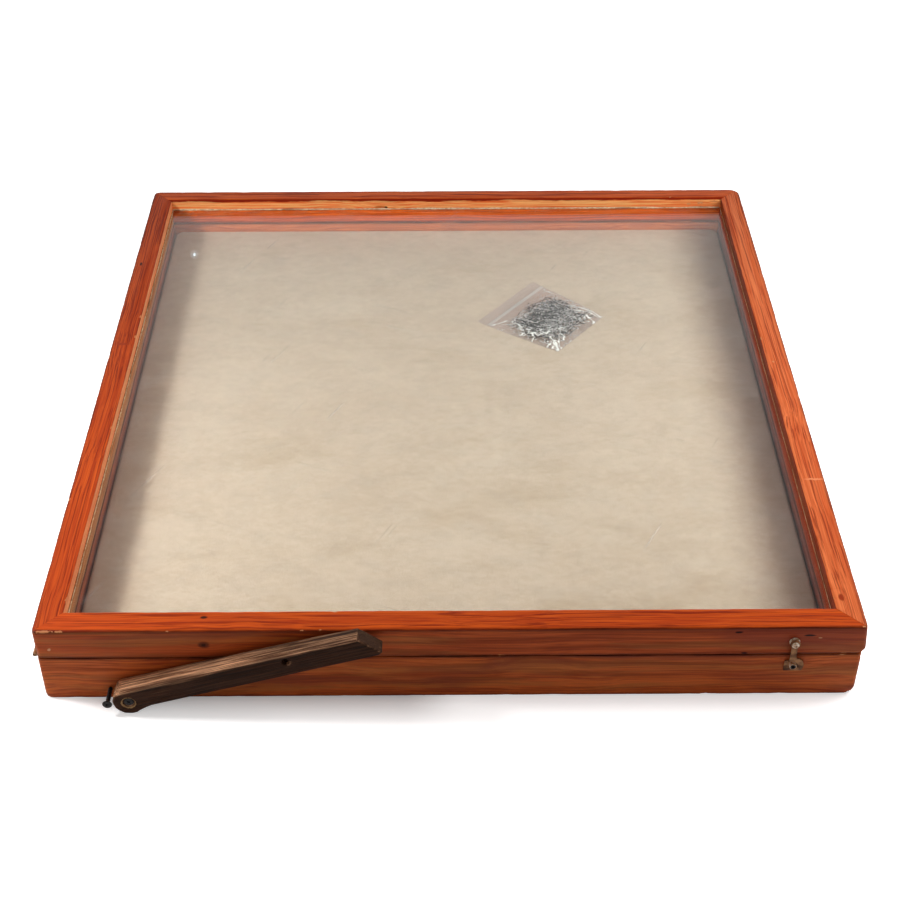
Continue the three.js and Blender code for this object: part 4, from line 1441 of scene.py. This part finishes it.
def add_pins():
    """Loose pins in the bag: a fan of nearly parallel ones, and a jumble beside it."""
    draw = random.Random(11)
    vertices, faces, bright = [], [], []
    made = 0
    while made < PIN_COUNT:
        middle, step, level = draw_pin(draw, made < PIN_BUNDLE)
        if not all(inside_bag(*(middle + step * part)) for part in (-1, -0.5, 0, 0.5, 1)):
            continue
        start, end = (Vector(bag_point(*(middle + step * part))) for part in (-1, 1))
        points = pin_points(start, end)
        head = PIN_HEAD_RINGS * PIN_SIDES
        faces += tube_faces(len(points) // PIN_SIDES, PIN_SIDES, len(vertices))
        vertices += points
        # Heads get a brighter level: painted glints on their round tops.
        bright += [min(1.0, level + PIN_HEAD_PAINTED_GLINT)] * head + [level] * (len(points) - head)
        made += 1
    add_object("pins", vertices, faces, pin_steel(), "tray", "pin_steel", ["pin_heap"], bright=bright)


# ---- stage ---------------------------------------------------------------------------
FLOOR_REACH = 9.0
FLOOR_GLOW = 0.55
FLOOR_GLOW_BY_LEG = 0.24
FLOOR_GLOW_FAR = 45 * MM
FLOOR_GLOW_QUICKER = 5.0
LEG_MIDDLE = -150 * MM
LEG_SHADE = 110 * MM
WHITE = (1, 1, 1, 1)
LAMP_TARGET = Vector((0, 0, 0.04))
LAMP_WHITE = (1, 1, 1)
LAMP_BLUE = (0.72, 0.88, 1)
# Place, size, watts, colour, whether the glass mirrors it
LAMPS = {
    "left": ((-0.70, -0.26, 0.51), 0.115, 3.7, LAMP_WHITE, True),
    "right": ((0.76, -0.08, 0.57), 0.50, 4.7, LAMP_WHITE, False),
    "glint": ((-0.578, 1.911, 1.097), 0.005, 0.0005, LAMP_BLUE, True),
    "halo": ((-0.579, 1.915, 1.099), 0.018, 0.0007, LAMP_BLUE, True),
    "front_left": ((-0.75, -0.8, 0.45), 0.5, 0.56, LAMP_WHITE, False),
    "front_right": ((0.75, -0.8, 0.45), 0.5, 0.70, LAMP_WHITE, False),
}
AMBIENT = (0.075, 0.05, 0.04, 1)
BACKDROP = 0.7
BACKDROP_BRIGHTEST = 0.50
BACKDROP_DARKEST = 0.74


def floor_white():
    """White paper: plain diffuse, with a painted glow that only the camera sees, so it looks overexposed
    away from the case, where the real shadows show; beside the leg the glow is weaker still, which paints
    shade where the leg's shadow falls.
    """
    g = new_material("floor_white")
    place = g.place()
    x, y, _z = g.split(place)
    beyond_x = g.math("MAXIMUM", g.math("ABSOLUTE", x) - CASE_RIGHT, 0.0)
    beyond_front = g.math("MAXIMUM", CASE_FRONT - y, 0.0)
    beyond_back = g.math("MAXIMUM", y + CASE_FRONT, 0.0)
    beyond_y = beyond_front + beyond_back * FLOOR_GLOW_QUICKER
    beyond = g.length(g.join(beyond_x * FLOOR_GLOW_QUICKER, beyond_y))
    # Weaker glow beside the leg: painted shade where the leg's shadow falls on the floor.
    from_leg = g.math("ABSOLUTE", x - LEG_MIDDLE)
    near = g.smooth(from_leg, LEG_SHADE, 1.5 * LEG_SHADE, FLOOR_GLOW_BY_LEG, FLOOR_GLOW)
    far = g.math("MINIMUM", beyond / FLOOR_GLOW_FAR, 1.0)
    glow = (near + far * (1.0 - near)) * g.node("LightPath", out="Is Camera Ray")
    colour = g.mix(g.noise(place, 40), (0.80, 0.79, 0.785, 1), (0.83, 0.82, 0.815, 1))
    g.set(Emission_Color=WHITE, Emission_Strength=glow)
    return g.set(Base_Color=colour, Roughness=0.9, Specular_IOR_Level=0.0)


def add_floor():
    corners = [(x * FLOOR_REACH, y * FLOOR_REACH, 0) for x, y in ((-1, -1), (1, -1), (1, 1), (-1, 1))]
    floor = new_object("floor", new_mesh("floor", corners, [(0, 1, 2, 3)]))
    floor.data.materials.append(floor_white())


def add_lights():
    for name, (place, size, watts, colour, mirrored) in LAMPS.items():
        data = bpy.data.lights.new(name, "AREA")
        data.shape = "DISK"
        data.size = size
        data.energy = watts
        data.color = colour
        lamp = new_object(name, data)
        lamp.location = place
        lamp.rotation_mode = "QUATERNION"
        lamp.rotation_quaternion = (LAMP_TARGET - Vector(place)).to_track_quat("-Z", "Y")
        lamp.visible_glossy = mirrored


def add_world():
    """Dim warm surroundings, and behind the case a white backdrop that the glass mirrors.

    The camera sees plain white beyond the floor, as in a studio cove.
    """
    world = bpy.data.worlds.new("studio")
    bpy.context.scene.world = world
    g = Graph(world)
    _x, y, z = g.split(g.node("TexCoord", out="Generated"))
    heights = {"Value": z, "From Min": BACKDROP_BRIGHTEST, "From Max": BACKDROP_DARKEST,
               "To Min": BACKDROP, "To Max": 0.0}
    glow = g.node("MapRange", heights, "Result") * g.smooth(y, 0.45, 0.65)
    surroundings = g.node("Background", {"Color": AMBIENT})
    backdrop = g.node("Background", {"Color": WHITE, "Strength": glow})
    cove = g.node("Background", {"Color": WHITE})
    both = g.node("AddShader", {0: surroundings, 1: backdrop})
    g.show(g.mix_shaders(g.node("LightPath", out="Is Camera Ray"), both, cove))


def add_camera():
    data = bpy.data.cameras.new("camera")
    data.lens = CAMERA_LENS
    data.sensor_width = 36
    data.clip_start, data.clip_end = 0.05, 60
    pitch_cos, pitch_sin = math.cos(CAMERA_PITCH), math.sin(CAMERA_PITCH)
    turned = Matrix.Rotation(CAMERA_YAW, 3, "Z")
    forward = turned @ Vector((0, pitch_cos, -pitch_sin))
    right = turned @ Vector((1, 0, 0))
    up = turned @ Vector((0, pitch_sin, pitch_cos))
    c, s = math.cos(CAMERA_ROLL), math.sin(CAMERA_ROLL)
    rotation = Matrix((right * c + up * s, up * c - right * s, -forward)).transposed().to_4x4()
    camera = new_object("camera", data)
    camera.matrix_world = Matrix.Translation(CAMERA_PLACE) @ rotation
    bpy.context.scene.camera = camera


def set_colours():
    settings = bpy.context.scene.view_settings
    settings.view_transform = "Standard"
    settings.look = "None"
    settings.exposure = 0.0


add_camera()
add_rails()
add_felt()
dress("glass_pane", glass())
dress("bottom_panel", plywood(), 0.3 * MM)
dress("pinning_board", softboard())
add_putty()
add_leg()
add_screws()
add_metalwork()
add_bag()
add_zip()
add_pins()
add_floor()
add_lights()
add_world()
set_colours()
